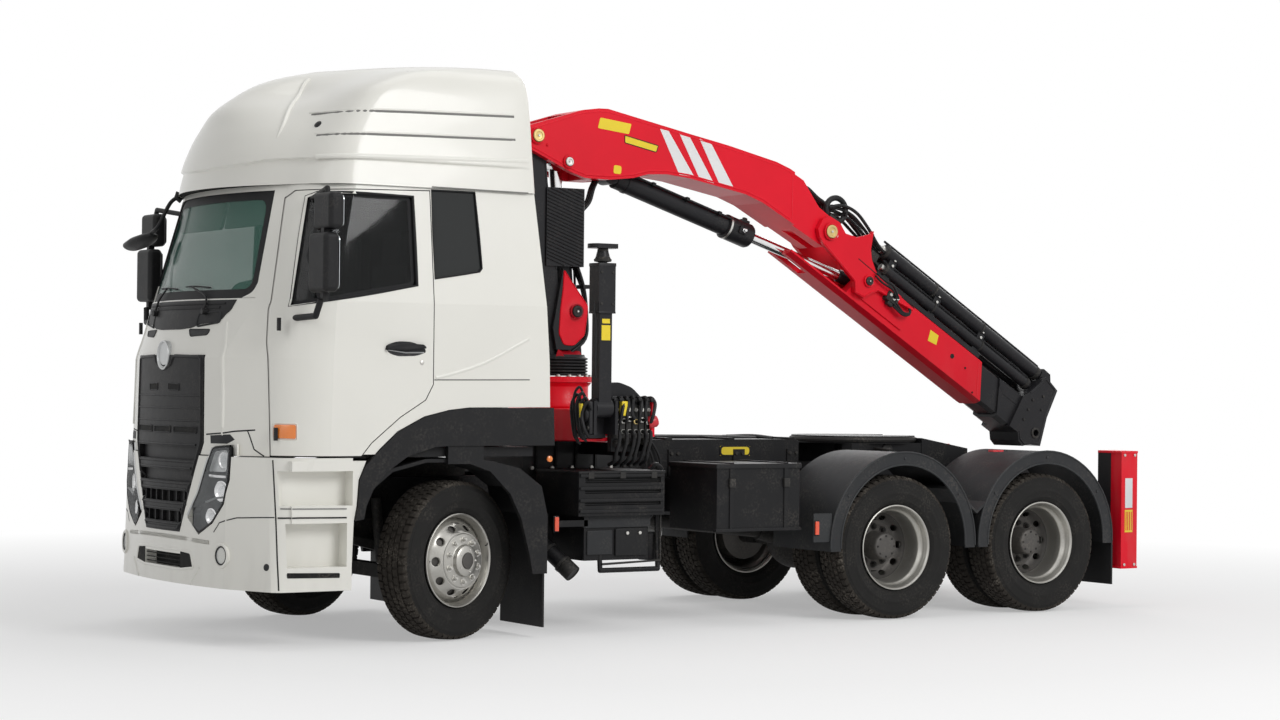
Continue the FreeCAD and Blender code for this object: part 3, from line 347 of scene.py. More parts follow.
def rounded(outline, radius, steps=4):
    """An outline with each of its corners rounded off."""
    points = []
    count = len(outline)
    for k in range(count):
        corner = Vector(outline[k][:2])
        before, after = Vector(outline[k - 1][:2]) - corner, Vector(outline[(k + 1) % count][:2]) - corner
        reach = min(radius, before.length * 0.45, after.length * 0.45)
        start, end = corner + before.normalized() * reach, corner + after.normalized() * reach
        for i in range(steps + 1):
            t = i / steps
            point = start * (1 - t) ** 2 + corner * 2 * t * (1 - t) + end * t * t
            points.append((point.x, point.y))
    return points


def curve(a, b, c, d, t):
    """The point at t, from 0 to 1, between b and c on a smooth curve through all four."""
    return 0.5 * (b * 2 + (c - a) * t + (a * 2 - b * 5 + c * 4 - d) * t * t
                  + (b * 3 - a - c * 3 + d) * t ** 3)


def bend(points, steps):
    """A smooth line through points."""
    points = [Vector(point) for point in points]
    if len(points) < 3:
        return points
    ends = [points[0] * 2 - points[1]] + points + [points[-1] * 2 - points[-2]]
    line = []
    for a, b, c, d in zip(ends, ends[1:], ends[2:], ends[3:]):
        for i in range(steps):
            line.append(curve(a, b, c, d, i / steps))
    return line + [points[-1]]


def spaced(points, step):
    """A line's own points with more between them, no more than step apart."""
    points = [Vector(point) for point in points]
    line = [points[0]]
    for a, b in zip(points, points[1:]):
        count = max(1, math.ceil((b - a).length / step))
        line += [a + (b - a) * (i / count) for i in range(1, count + 1)]
    return line


def outward(x, y, z, side):
    """A place on one side of the truck whose own Z runs out from it."""
    return facing((x, y * side, z), (0, side, 0))


def mirror(points, side):
    """An outline, turned over where side is -1."""
    return [(y * side, z) for y, z in points]


def level(points, side, height):
    """An outline at a height over a place that looks out of the truck, to a side or to the back."""
    return [(-x * side, z, height) for x, z in points]


def scaled(points, middle_a, middle_b, scale):
    """Points drawn towards a middle, or away from it."""
    return [(middle_a + (a - middle_a) * scale, middle_b + (b - middle_b) * scale) for a, b in points]


def oblong(low, high, radius, steps=4):
    """A rounded rectangle between two opposite corners."""
    return rounded([low, (high[0], low[1]), high, (low[0], high[1])], radius, steps)


made = {}
same_point, shortest_edge = 0.00004, 0.00002  # in metres
flanks = (("left", 1), ("right", -1))


class Piece:
    """A mesh in the making, in millimetres, that rides on a body and may replace solids."""

    def __init__(self, name, body, slot, replaces=(), place=None):
        self.name, self.body, self.slot, self.replaced = name, body, slot, replaces
        self.place = place or Matrix()
        self.points, self.faces, self.marks, self.finishes = [], [], [], []

    def add(self, points, faces, finish, place=None):
        if finish not in self.finishes:
            self.finishes.append(finish)
        move = self.place @ place if place else self.place
        start = len(self.points)
        self.points += [move @ Vector(point) for point in points]
        self.faces += [[start + i for i in face] for face in faces]
        self.marks += [self.finishes.index(finish)] * len(faces)

    def loft(self, rings, finish, place=None, closed=True, ends=True):
        """A skin over rings of points that all have as many points."""
        count = len(rings[0])
        points = [point for ring in rings for point in ring]
        across = range(count if closed else count - 1)
        faces = []
        for low in range(0, len(points) - count, count):
            faces += [[low + k, low + (k + 1) % count, low + count + (k + 1) % count, low + count + k]
                      for k in across]
        if ends:
            faces += [list(range(count))[::-1], list(range((len(rings) - 1) * count, len(rings) * count))]
        self.add(points, faces, finish, place)

    def turned(self, rows, finish, place=None, columns=32):
        """Rows of (radius, height) turned about the place's Z."""
        rings = [[(x, y, height) for x, y in circle(max(radius, 0.01), columns)] for radius, height in rows]
        self.loft(rings, finish, place, ends=False)

    def plate(self, outline, low, high, finish, place=None, bevel=0.0):
        """An outline in the place's XY, between two heights; bevel rounds its upper edge."""
        rows = [(0.0, low), (0.0, high)]
        if bevel:
            rows = [(0.0, low), (0.0, high - bevel), (bevel * 0.3, high - bevel * 0.3), (bevel, high)]
        middle = sum((Vector(point) for point in outline), Vector((0, 0))) / len(outline)
        reach = max((Vector(point) - middle).length for point in outline)
        rings = []
        for inset, height in rows:
            shrink = 1 - inset / reach
            rings.append([(middle.x + (x - middle.x) * shrink, middle.y + (y - middle.y) * shrink, height)
                          for x, y in outline])
        self.loft(rings, finish, place)

    def block(self, low, high, finish, place=None, soft=0.0):
        """A box between two corners, in either order of y; soft rounds its long edges."""
        near, far = sorted((low[1], high[1]))
        outline = [(low[0], near), (high[0], near), (high[0], far), (low[0], far)]
        if soft:
            outline = rounded(outline, soft, 3)
        self.plate(outline, low[2], high[2], finish, place, soft)

    def rod(self, start, end, radius, finish, sides=20, place=None):
        start, end = Vector(start), Vector(end)
        local = facing(start, end - start)
        length = (end - start).length
        edge = min(radius * 0.18, 3.0)
        rows = [(0.0, 0.0), (radius - edge, 0.0), (radius, edge), (radius, length - edge),
                (radius - edge, length), (0.0, length)]
        self.turned(rows, finish, place @ local if place else local, sides)

    def tube(self, line, radius, finish, sides=10, place=None, flat=1.0):
        """A round bar or hose along a line of points."""
        line = [Vector(point) for point in line]
        rings = []
        side = None
        for k, point in enumerate(line):
            along = (line[min(k + 1, len(line) - 1)] - line[max(k - 1, 0)]).normalized()
            if side is None:
                side = along.cross(Vector((0, 0, 1)) if abs(along.z) < 0.9 else Vector((1, 0, 0)))
            side = (side - along * side.dot(along)).normalized()
            upward = side.cross(along)
            rings.append([point + side * x + upward * y * flat for x, y in circle(radius, sides)])
        self.loft(rings, finish, place)

    def hose(self, points, steps, *rest, **more):
        """A tube along a smooth line through points, with steps in each stretch."""
        self.tube(bend(points, steps), *rest, **more)

    def nut(self, origin, along, across, height, finish, place=None, washer=None):
        """A hexagon head with a chamfered top, and a washer under it where one is named."""
        local = facing(origin, along)
        local = place @ local if place else local
        if washer:
            self.turned([(0, 0), (across * 0.85, 0), (across * 0.85, height * 0.18), (0, height * 0.18)],
                        washer, local, 18)
        radius = across / math.sqrt(3)
        rings = [[(x, y, z) for x, y in circle(r, 6)]
                 for r, z in ((radius, 0), (radius, height * 0.86), (radius * 0.86, height))]
        self.loft(rings, finish, local)

    def side_nut(self, x, y, z, side, across, height, finish):
        """A nut whose head points out from one side of the truck."""
        self.nut((x, y * side, z), (0, side, 0), across, height, finish)

    def build(self, weld=False, crisp=38.0):
        """The finished object; edges sharper than crisp degrees stay sharp."""
        mesh = bpy.data.meshes.new(self.name)
        mesh.from_pydata([at(*point) for point in self.points], [], self.faces)
        for finish in self.finishes:
            mesh.materials.append(finish.material)
        mesh.polygons.foreach_set("material_index", self.marks)
        work = bmesh.new()
        work.from_mesh(mesh)
        if weld:
            bmesh.ops.remove_doubles(work, verts=work.verts, dist=same_point)
        bmesh.ops.dissolve_degenerate(work, edges=work.edges, dist=shortest_edge)
        bmesh.ops.recalc_face_normals(work, faces=work.faces)
        work.to_mesh(mesh)
        work.free()
        mesh.shade_smooth()
        mesh.set_sharp_from_angle(angle=math.radians(crisp))
        piece = bpy.data.objects.new(self.name, mesh)
        bpy.context.collection.objects.link(piece)
        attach(piece, self.body)
        if self.replaced:
            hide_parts(*self.replaced)
        made[self.name] = piece


# Each side to lay pieces on: the line of sight, then the axes of the outline's two numbers.
sights = {"front": ((-1, 0, 0), (0, 1, 0), (0, 0, 1)), "left": ((0, -1, 0), (1, 0, 0), (0, 0, 1)),
          "right": ((0, 1, 0), (1, 0, 0), (0, 0, 1))}


eye_distance = 12000


class Skin:
    """The outside of some solids, seen square on from one side, to lay thin pieces on."""

    def __init__(self, sight, *names):
        points, faces = [], []
        for name in names:
            mesh = (nodes.get(name) or made[name]).data
            start = len(points)
            points += [vertex.co.copy() for vertex in mesh.vertices]
            faces += [[start + i for i in polygon.vertices] for polygon in mesh.polygons]
        self.tree = BVHTree.FromPolygons(points, faces)
        self.look, self.first, self.second = [Vector(axis) for axis in sights[sight]]

    def find(self, a, b):
        """The place on the skin and the way out of it, or None past its edge."""
        eye = at(*(self.first * a + self.second * b - self.look * eye_distance))
        spot, normal, _, _ = self.tree.ray_cast(eye, self.look)
        if spot is None:
            return None
        if normal.dot(self.look) > 0:
            normal = -normal
        place = Vector(((spot.x - front_axle_x) * 1000, spot.y * 1000, spot.z * 1000))
        return place, normal

    def nearest(self, a, b, middle):
        """As find, but drawn towards middle or away from it where the point misses the skin."""
        for t in (0, 0.01, -0.01, 0.02, -0.02, 0.04, -0.04, 0.07, -0.07, 0.12, -0.12, 0.2, 0.35, 0.6, 1):
            found = self.find(a + (middle[0] - a) * t, b + (middle[1] - b) * t)
            if found:
                return found
        raise ValueError("an outline misses the skin at %.0f, %.0f" % (a, b))

    def sheet(self, piece, outline, thick, finish, step=40.0, soft=0.0):
        """A thin plate with a given outline that follows the skin."""
        edge = [Vector(point[:2]) for point in outline]
        edge = spaced(edge + edge[:1], step)[:-1]
        low_a, high_a = min(p.x for p in edge), max(p.x for p in edge)
        low_b, high_b = min(p.y for p in edge), max(p.y for p in edge)
        inner = []
        for i in range(1, int((high_a - low_a) / step) + 1):
            for j in range(1, int((high_b - low_b) / step) + 1):
                spot = Vector((low_a + i * step, low_b + j * step))
                if all((spot - p).length > step * 0.45 for p in edge):
                    inner.append(spot)
        count = len(edge)
        spots, _, faces, _, _, _ = delaunay_2d_cdt(edge + inner, [], [list(range(count))], 1, 0.0001)
        middle = sum(edge, Vector((0, 0))) / count
        found = [self.nearest(p.x, p.y, middle) for p in spots]
        upper = [place + normal * thick for place, normal in found]
        lower = [place - normal * 4.0 for place, normal in found]
        used = {}
        for face in faces:
            for a, b in zip(face, face[1:] + face[:1]):
                used[(a, b)] = used.get((a, b), 0) + 1
        rim = [pair for pair in used if (pair[1], pair[0]) not in used]
        total = len(spots)
        walls = [[a, b, b + total, a + total] for a, b in rim]
        if soft:
            raised = [list(point) for point in upper]
            for a, b in rim:
                raised[a] = found[a][0] + found[a][1] * (thick - soft)
            upper = raised
        piece.add(list(upper) + lower, [list(face) for face in faces] + walls, finish)

    def strip(self, piece, line, width, high, finish, step=30.0, crown=False, closed=False):
        """A ribbon along a line on the skin: flat, or crowned like a pressed ridge."""
        line = [Vector(point[:2]) for point in line]
        if closed:
            line.append(line[0])
        line = spaced(line, step)
        middle = sum(line, Vector((0, 0))) / len(line)
        found = [self.nearest(p.x, p.y, middle) for p in line]
        rings = []
        for k, (place, normal) in enumerate(found):
            before = found[k - 1 if k else (-2 if closed else 0)][0]
            after = found[k + 1 if k + 1 < len(found) else (1 if closed else k)][0]
            across = (after - before).normalized().cross(normal).normalized() * (width / 2)
            rows = [(-1, -3), (-1, high), (1, high), (1, -3)]
            if crown:
                rows = [(-1, -3), (-1, 0.2), (-0.55, high * 0.75), (0, high), (0.55, high * 0.75), (1, 0.2),
                        (1, -3)]
            rings.append([place + across * a + normal * b for a, b in rows])
        piece.loft(rings, finish, closed=False, ends=not closed)

    def reveal(self, piece, outline, deep, finish, margin=9.0):
        """A rubber lip round an opening in the skin, and down the sides of the opening."""
        line = [Vector(point[:2]) for point in outline]
        line = spaced(line + line[:1], 45)[:-1]
        middle = sum(line, Vector((0, 0))) / len(line)
        rings = []
        for spot in line:
            inward = (middle - spot).normalized()
            place, normal = self.nearest(*(spot - inward * margin), middle)
            across = self.first * inward.x + self.second * inward.y
            edge = place + across * (margin + 3)
            rings.append([place - normal * 3, place + normal * 3, place + across * margin * 0.9 + normal * 4,
                          edge + normal, edge + self.look * deep])
        piece.loft(rings + rings[:1], finish, closed=False, ends=False)


# ---- tyres and wheels --------------------------------------------------------------
hub_z = 515.0
front_wheel_y, kingpin_y, steered = 1010.0, 835.0, 18.0
twin_x = (("1", -3600.0), ("2", -4970.0))
twin_outer_y, twin_inner_y = 1090.0, 757.0
nut_circle = 137.0
tread_pitches = 60
rib_edges = [(-113, -76), (-65, -27), (-17, 17), (27, 65), (76, 113)]
groove_deep, slot_deep = 15.0, 12.0
half_tread, crown_drop = 113, 6.6
# The sidewall from the tread's shoulder to the bead: radius, distance from the middle plane.
sidewall = [(498, 121), (486, 127), (476, 130.5), (468, 132), (466, 135), (456, 137.5), (452, 136.5),
            (430, 140), (418, 140), (404, 139.4), (400, 141.6), (386, 141), (382, 138.2), (360, 134.5),
            (346, 129), (341, 129), (333, 123), (329, 119), (318, 112), (309, 104), (300, 97), (287, 91)]
column_fractions = (0.0, 0.20, 0.24, 0.96)
shoulder_rows = (121, 127)  # the sidewall's rows that carry the shoulder's notches


def tyre_mesh(piece, place):
    """A tyre about the place's Z: five ribs cut into staggered blocks, and stepped sidewalls."""
    rows = [(r, -y, 0.0, 0) for r, y in sidewall[::-1]]
    for index, (low, high) in enumerate(rib_edges):
        stagger = 0.5 * (index % 2) + (0.12 if index in (0, 4) else 0.0)
        at_low, at_high = (hub_z - crown_drop * (abs(y) / half_tread) ** 2 for y in (low, high))
        for y, radius, deep in ((low, at_low, groove_deep), (low + 0.6, at_low, 0),
                                (high - 0.6, at_high, 0), (high, at_high, groove_deep)):
            if abs(y) == half_tread and deep:
                rows.append((radius - 3.0, y + (3 if y > 0 else -3), stagger, 2))
            else:
                rows.append((radius - deep, y, stagger, 0 if deep else 1))
    rows += [(r, y, 0.0, 0) for r, y in sidewall]
    points, faces = [], []
    columns = tread_pitches * len(column_fractions)
    for radius, y, stagger, kind in rows:
        for column in range(columns):
            pitch, part = divmod(column, len(column_fractions))
            angle = 2 * math.pi * (pitch + column_fractions[part] + stagger) / tread_pitches
            low = part < 2
            deep = (slot_deep if abs(y) > 70 else slot_deep * 0.55) if kind and low else 0.0
            if abs(y) in shoulder_rows:
                deep = 6.0 if low else 0.0
            points.append(((radius - deep) * math.cos(angle), (radius - deep) * math.sin(angle), y))
    treads = []
    shoulder = len(sidewall) - 2
    for r in range(len(rows) - 1):
        group = treads if shoulder <= r < len(rows) - 1 - shoulder else faces
        for c in range(columns):
            d = (c + 1) % columns
            group.append([r * columns + c, r * columns + d, (r + 1) * columns + d, (r + 1) * columns + c])
    piece.add(points, faces, tyre_rubber, place)
    piece.add(points, treads, tread_rubber, place)


def disc_with_holes(piece, place, profile, hole_radius, size, finish, holes=10, thick=12.0):
    """A wheel disc: profile rows of (radius, height), with oval hand holes in a ring.
    The rows must reach past the holes on both sides."""
    def height(radius):
        for (r0, h0), (r1, h1) in zip(profile, profile[1:]):
            if min(r0, r1) <= radius <= max(r0, r1):
                return h0 + (h1 - h0) * (radius - r0) / (r1 - r0)
        return profile[0][1] if abs(radius - profile[0][0]) < abs(radius - profile[-1][0]) else profile[-1][1]

    inner, outer = hole_radius - size[0] * 1.5, hole_radius + size[0] * 1.5
    spread = 2 * math.pi / holes
    for side, drop in ((1, 0.0), (-1, thick)):
        for k in range(holes):
            middle = spread * k
            rings = [[], [], []]
            for a in round_steps(24):
                c, s = math.cos(a), math.sin(a)
                box_scale = 1 / max(abs(c), abs(s))
                for ring, r, t, lip in ((0, hole_radius + size[0] * c, size[1] * s / hole_radius, 2.5),
                                        (1, hole_radius + size[0] * 1.16 * c,
                                         size[1] * 1.12 * s / hole_radius, 0.0),
                                        (2, hole_radius + (outer - hole_radius) * c * box_scale,
                                         spread / 2 * s * box_scale, 0.0)):
                    t += middle
                    rings[ring].append((r * math.cos(t), r * math.sin(t), height(r) - drop - lip * side))
            piece.loft(rings, finish, place, ends=False)
            if side == 1:
                back = [(x, y, z - thick) for x, y, z in rings[0]]
                piece.loft([rings[0], back], finish, place, ends=False)
    inside = [(inner, height(inner))] + [row for row in profile if row[0] < inner]
    outside = [row for row in profile if row[0] > outer] + [(outer, height(outer))]
    for rows in (inside, outside):
        piece.turned(rows, finish, place, 96)


def rim_hoop(piece, place, finish, inner_finish):
    """The rim with its rolled flanges."""
    rows = [(287, -96), (299, -103), (304, -112), (303, -121), (297, -124), (291, -120), (287, -108),
            (281, -92), (277, -60), (273, 60), (279, 88), (287, 106), (291, 118), (297, 123), (303, 121),
            (304, 112), (299, 103), (287, 96)]
    piece.turned(rows, finish, place, 96)
    piece.turned([(r - 3, h) for r, h in ((277, -60), (268, -40), (268, 20), (273, 60))], inner_finish,
                 place, 64)
    piece.turned([(287, -96), (272, -60), (272, 60), (287, 96)], finish, place, 64)


def wheel_nuts(piece, place, height, finish, across, tall, count=10):
    """The ring of wheel nuts, each with the end of its stud."""
    for k in range(count):
        angle = 2 * math.pi * (k + 0.5) / count
        x, y = nut_circle * math.cos(angle), nut_circle * math.sin(angle)
        piece.nut((x, y, height), (0, 0, 1), across, tall, finish, place, finish)
        piece.rod((x, y, height + tall), (x, y, height + tall + 8), 9.5, finish, 10, place)


def hub_bolts(piece, place, count, height, across, tall, finish):
    """The small bolts round the middle of a hub."""
    for x, y in circle(74, count):
        piece.nut((x, y, height), (0, 0, 1), across, tall, finish, place)


def front_wheel_place(side):
    """A front wheel's place, turned about its kingpin as it stands at rest."""
    centre = Vector((0, front_wheel_y * side, hub_z))
    kingpin = Vector((0, kingpin_y * side, hub_z))
    swing = Matrix.Rotation(math.radians(steered), 4, "Z")
    local = facing(centre - kingpin, (0, side, 0))
    return Matrix.Translation(kingpin) @ swing @ local


def front_wheels():
    """Each front wheel: its tyre, and its domed disc with the hub's cap, nuts and valve."""
    for name, side in flanks:
        body = "wheel_front_" + name
        place = front_wheel_place(side)
        tyre = Piece("front_tyre_" + name, body, "tyre", ["tyre_front_" + name], place)
        tyre_mesh(tyre, Matrix())
        tyre.build(weld=True, crisp=32.0)
        wheel = Piece("front_wheel_" + name, body, "rim", ["rim_front_" + name], place)
        # The rim's inner band and the dish's back are in the wheel paint darkened as painted shade.
        rim_hoop(wheel, None, bright_wheel_paint, shaded_wheel_paint)
        dish = [(150, 150), (166, 156), (186, 150), (206, 130), (240, 92), (262, 70), (272, 60), (276, 48)]
        disc_with_holes(wheel, None, dish, 213.0, (19.0, 30.0), bright_wheel_paint)
        wheel.turned([(150, 150), (150, 140), (262, 56)], shaded_wheel_paint, None, 48)
        # Near-black of painted shade inside the wheel, behind the disc.
        wheel.turned([(40, 60), (250, 40), (262, 20), (40, 10)], shade_black, None, 48)
        wheel.turned([(176, 152), (171, 158), (160, 160), (112, 160), (104, 164), (100, 176), (98, 190),
                      (90, 196), (56, 199), (52, 195), (0, 195)], bright_wheel_paint, None, 64)
        wheel.turned([(51, 196), (49, 203), (42, 205), (0, 205)], shaded_wheel_paint, None, 40)
        wheel_nuts(wheel, None, 159.0, zinc, 28.0, 20.0)
        hub_bolts(wheel, None, 5, 197, 12, 5, zinc)
        valve = [(284 * math.cos(a), 284 * math.sin(a), h) for a, h in ((0.3, 100), (0.31, 116), (0.36, 124))]
        wheel.hose(valve, 6, 3.4, black_plastic, 8)
        # Near-black of painted shade round the hub inside the wheel.
        wheel.turned([(40.1, -80), (150, -80), (150, 60), (40.1, 60)], shade_black, None, 40)
        wheel.build(weld=True)


def twin_wheels():
    """Each pair of rear wheels: two tyres, their dished discs back to back, and the hub."""
    for name, side in flanks:
        for row, x in twin_x:
            key = "rear" + row + "_" + name
            body = "wheel_" + key
            tyres = Piece("twin_tyres_" + row + "_" + name, body, "tyre", ["tyre_" + key])
            for y in (twin_outer_y, twin_inner_y):
                tyre_mesh(tyres, outward(x, y, hub_z, side))
            tyres.build(weld=True, crisp=32.0)
            wheels = Piece("twin_wheels_" + row + "_" + name, body, "rim", ["rim_" + key])
            outer = outward(x, twin_outer_y, hub_z, side)
            inner = facing((x, twin_inner_y * side, hub_z), (0, -side, 0))
            for place in (outer, inner):
                rim_hoop(wheels, place, bright_wheel_paint, bright_wheel_paint)
                barrel = [(287, 100), (279, 88), (270, 60), (262, 54), (255, 40), (252, -20), (246, -60),
                          (240, -84)]
                wheels.turned(barrel, bright_wheel_paint, place, 96)
                dish = [(240, -84), (232, -96), (214, -120), (196, -138), (176, -150), (164, -154),
                        (120, -154)]
                # The recessed discs and the hub are in the wheel paint darkened as painted shade.
                disc_with_holes(wheels, place, dish[::-1], 208.0, (17.0, 27.0), shaded_wheel_paint)
            middle = [(166, -160), (150, -148), (112, -146), (104, -140), (99, -110), (97, -20), (92, -4),
                      (84, 2), (60, 4), (0, 4)]
            wheels.turned(middle, shaded_wheel_paint, outer, 56)
            wheels.turned([(200, -410), (200, -178), (40, -178)], shaded_wheel_paint, outer, 48)
            wheels.turned([(69, -430), (200, -410)], shaded_wheel_paint, outer, 48)
            wheel_nuts(wheels, outer, -148.0, cast_iron, 30.0, 30.0)
            hub_bolts(wheels, outer, 8, 2, 14, 6, cast_iron)
            wheels.build(weld=True)


front_wheels()
twin_wheels()

# ---- cab ---------------------------------------------------------------------------
# Plan sections of the high roof: height, nose x, end of the nose curve (x, y), start of the
# round corner (x, y), where the side begins, its half width and the back.
roof_sections = [
    (2900, 1268, 1092, 712, 1020, 850, 690, 1184, -606), (3000, 1250, 1079, 692, 1003, 832, 672, 1171, -605),
    (3170, 1212, 1020, 665, 940, 800, 640, 1146, -604), (3290, 1181, 956, 630, 870, 770, 600, 1132, -603),
    (3420, 1127, 851, 506, 770, 690, 520, 1114, -602), (3530, 995, 705, 330, 640, 570, 420, 1096, -600),
    (3610, 860, 640, 270, 540, 490, 250, 1068, -598), (3670, 700, 560, 230, 430, 460, 60, 1020, -594),
    (3722, 480, 420, 180, 290, 430, -380, 925, -585)]


def smooth_rows(rows, steps):
    """Rows of numbers with more between them on smooth curves."""
    before, after = ([2 * a - b for a, b in zip(*pair)] for pair in (rows[:2], rows[:-3:-1]))
    ends = [before] + rows + [after]
    result = []
    for a, b, c, d in zip(ends, ends[1:], ends[2:], ends[3:]):
        for i in range(steps):
            result.append([curve(*numbers, i / steps) for numbers in zip(a, b, c, d)])
    return result + [list(rows[-1])]


roof_rows = smooth_rows(roof_sections, 5)


def smooth(t):
    """A soft rise from 0 to 1 as t goes from 0 to 1."""
    t = min(1.0, max(0.0, t))
    return t * t * (3 - 2 * t)


back_radius = 40
ledge_z, ledge_out = 3022, 22  # the step over the screen, lowest in its middle


def high_roof():
    """The roof as one smooth shell, rounded over at its top and back edges."""
    rings = []
    rows = roof_rows
    for z in (2900, 2950, 2990, *range(3004, 3107, 6), *range(3140, 3666, 25), 3682, 3704, 3722):
        a, b = next((a, b) for a, b in zip(rows, rows[1:]) if z <= b[0] + 0.01)
        share = (z - a[0]) / (b[0] - a[0])
        nose, sh_x, sh_y, co_x, co_y, side_x, half, back = [p + (q - p) * share for p, q in zip(a, b)][1:]
        points = [(nose + (sh_x - nose) * t ** 2.2, sh_y * t) for t in [k / 12 for k in range(13)]]
        points += [(sh_x + (co_x - sh_x) * k / 5, sh_y + (co_y - sh_y) * k / 5) for k in range(1, 5)]
        start, end = Vector((co_x, co_y)), Vector((side_x, half))
        reach = (end - start).length
        onward = start + (start - Vector((sh_x, sh_y))).normalized() * reach * 0.33
        back_from_end = end + Vector((reach * 0.4, 0))
        points += [tuple(spot) for spot in interpolate_bezier(start, onward, back_from_end, end, 13)]
        turn_x, turn_y = back + back_radius, half - back_radius
        points += [(side_x + (turn_x - side_x) * k / 10, half) for k in range(1, 11)]
        for k in range(1, 5):
            turn = k * math.pi / 8
            points.append((turn_x - back_radius * math.sin(turn), half - back_radius * (1 - math.cos(turn))))
        points += [(back, turn_y * (1 - k / 6)) for k in range(1, 7)]
        points += [(x, -y) for x, y in points[-2:0:-1]]
        ring = []
        for a, b, c in zip(points[-1:] + points, points, points[1:] + points[:1]):
            out = Vector((c[1] - a[1], a[0] - c[0])).normalized()
            ledge = ledge_z + 40 * min(1.0, abs(b[1]) / 700) ** 2
            step = smooth((z - ledge) / 12 + 0.5) * (1 - smooth((z - 3090) / 300)) * (b[0] > back + 60)
            ring.append((b[0] + out.x * ledge_out * step, b[1] + out.y * ledge_out * step, z))
        rings.append(ring)
    top = rings[-1]
    middle = (sum(p[0] for p in top) / len(top), 0.0)
    for share, z in ((0.985, 3721.0), (0.9, 3721.6), (0.5, 3722.0)):
        rings.append([(middle[0] + (x - middle[0]) * share, y * share, z) for x, y, _ in top])
    piece = Piece("high_roof", "truck", "cab_white", ["cab_roof"])
    piece.loft(rings, cab_paint, ends=False)
    piece.add(rings[-1], [list(range(len(top)))], cab_paint)
    # The roof's open bottom is closed with a near-black sheet of painted shade.
    piece.add([(x * 0.995, y * 0.995, 2904) for x, y, _ in rings[0]], [list(range(len(top)))], shade_black)
    piece.build(weld=True, crisp=50)


high_roof()
front_skin = Skin("front", "cab_front", "grille", "bumper", "headlamps", "high_roof")
screen_outline = [(-835, 2178), (835, 2178), (742, 2866), (-742, 2866)]


def windscreen_frame():
    """The screen's rubber lip, its four corner pieces and the two wipers."""
    glass_skin = Skin("front", "cab_glass")
    frame_piece = Piece("windscreen_rubber", "truck", "black_plastic")
    band = [(-800, 2205), (800, 2205), (712, 2840), (-712, 2840)]
    glass_skin.strip(frame_piece, rounded(band, 110), 62, 1.6, seal_rubber, 40, closed=True)
    for k, corner in enumerate(Vector(spot) for spot in screen_outline):
        before, after = ((Vector(screen_outline[(k + n) % 4]) - corner).normalized() for n in (-1, 1))
        arc = bend([corner + before * 120, corner + before * 40 + after * 40, corner + after * 120], 5)
        glass_skin.sheet(frame_piece, [corner] + arc, 9.0, cab_paint if k < 2 else seal_rubber, 40)
    for start, end, reach in ((390, 80, ((430, 2096), (395, 2190), (200, 2256))),
                              (-60, -420, ((-330, 2096), (-345, 2190), (-240, 2256)))):
        spots = [shell_or_glass(glass_skin, y, z) for y, z in reach]
        frame_piece.hose([p + Vector((30, 0, 0)) for p in spots], 5, 7, black_plastic, 8)
        ends = [shell_or_glass(glass_skin, y, z) + Vector((14, 0, 0))
                for y, z in ((start, 2250), ((start + end) / 2, 2262), (end, 2262))]
        frame_piece.hose(ends, 5, 9, seal_rubber, 6, flat=0.6)
        frame_piece.rod(spots[0] + Vector((-20, 0, 0)), spots[0] + Vector((42, 0, 0)), 20, black_plastic)
    frame_piece.build()


def shell_or_glass(glass_skin, y, z):
    """The place on the screen, or on the cab's front where the screen is missed."""
    return (glass_skin.find(y, z) or front_skin.find(y, z))[0]


def cowl():
    """The black panel below the screen with its two ledges, recesses and slots."""
    piece = Piece("cowl", "truck", "black_plastic")
    half = [(690, 2168), (664, 2108), (652, 2094), (622, 2072), (604, 2050), (574, 2030), (470, 2022),
            (380, 2014), (285, 1992), (150, 1984)]
    outline = half + mirror(half[::-1], -1)
    front_skin.sheet(piece, outline, 9.0, black_plastic, 45.0, 4.0)
    for low, high, y0, y1 in ((2112, 2128, -560, 560), (2140, 2150, -600, 600)):
        front_skin.sheet(piece, [(y0, low), (y1, low), (y1, high), (y0, high)], 13.0, seal_rubber, 60.0)
    for side in (1, -1):
        recess = rounded(mirror([(350, 2000), (590, 2026), (585, 2092), (360, 2086)], side), 24)
        front_skin.strip(piece, recess, 12, 14, grey_plastic, 30, True, True)
        slot = rounded(mirror([(267, 1984), (300, 1938), (492, 1947), (509, 1982)], side), 16)
        front_skin.sheet(piece, slot, 3.0, grey_plastic, 40.0, 2.0)
        front_skin.strip(piece, slot, 7, 5, black_plastic, 30, True, True)
    piece.build()


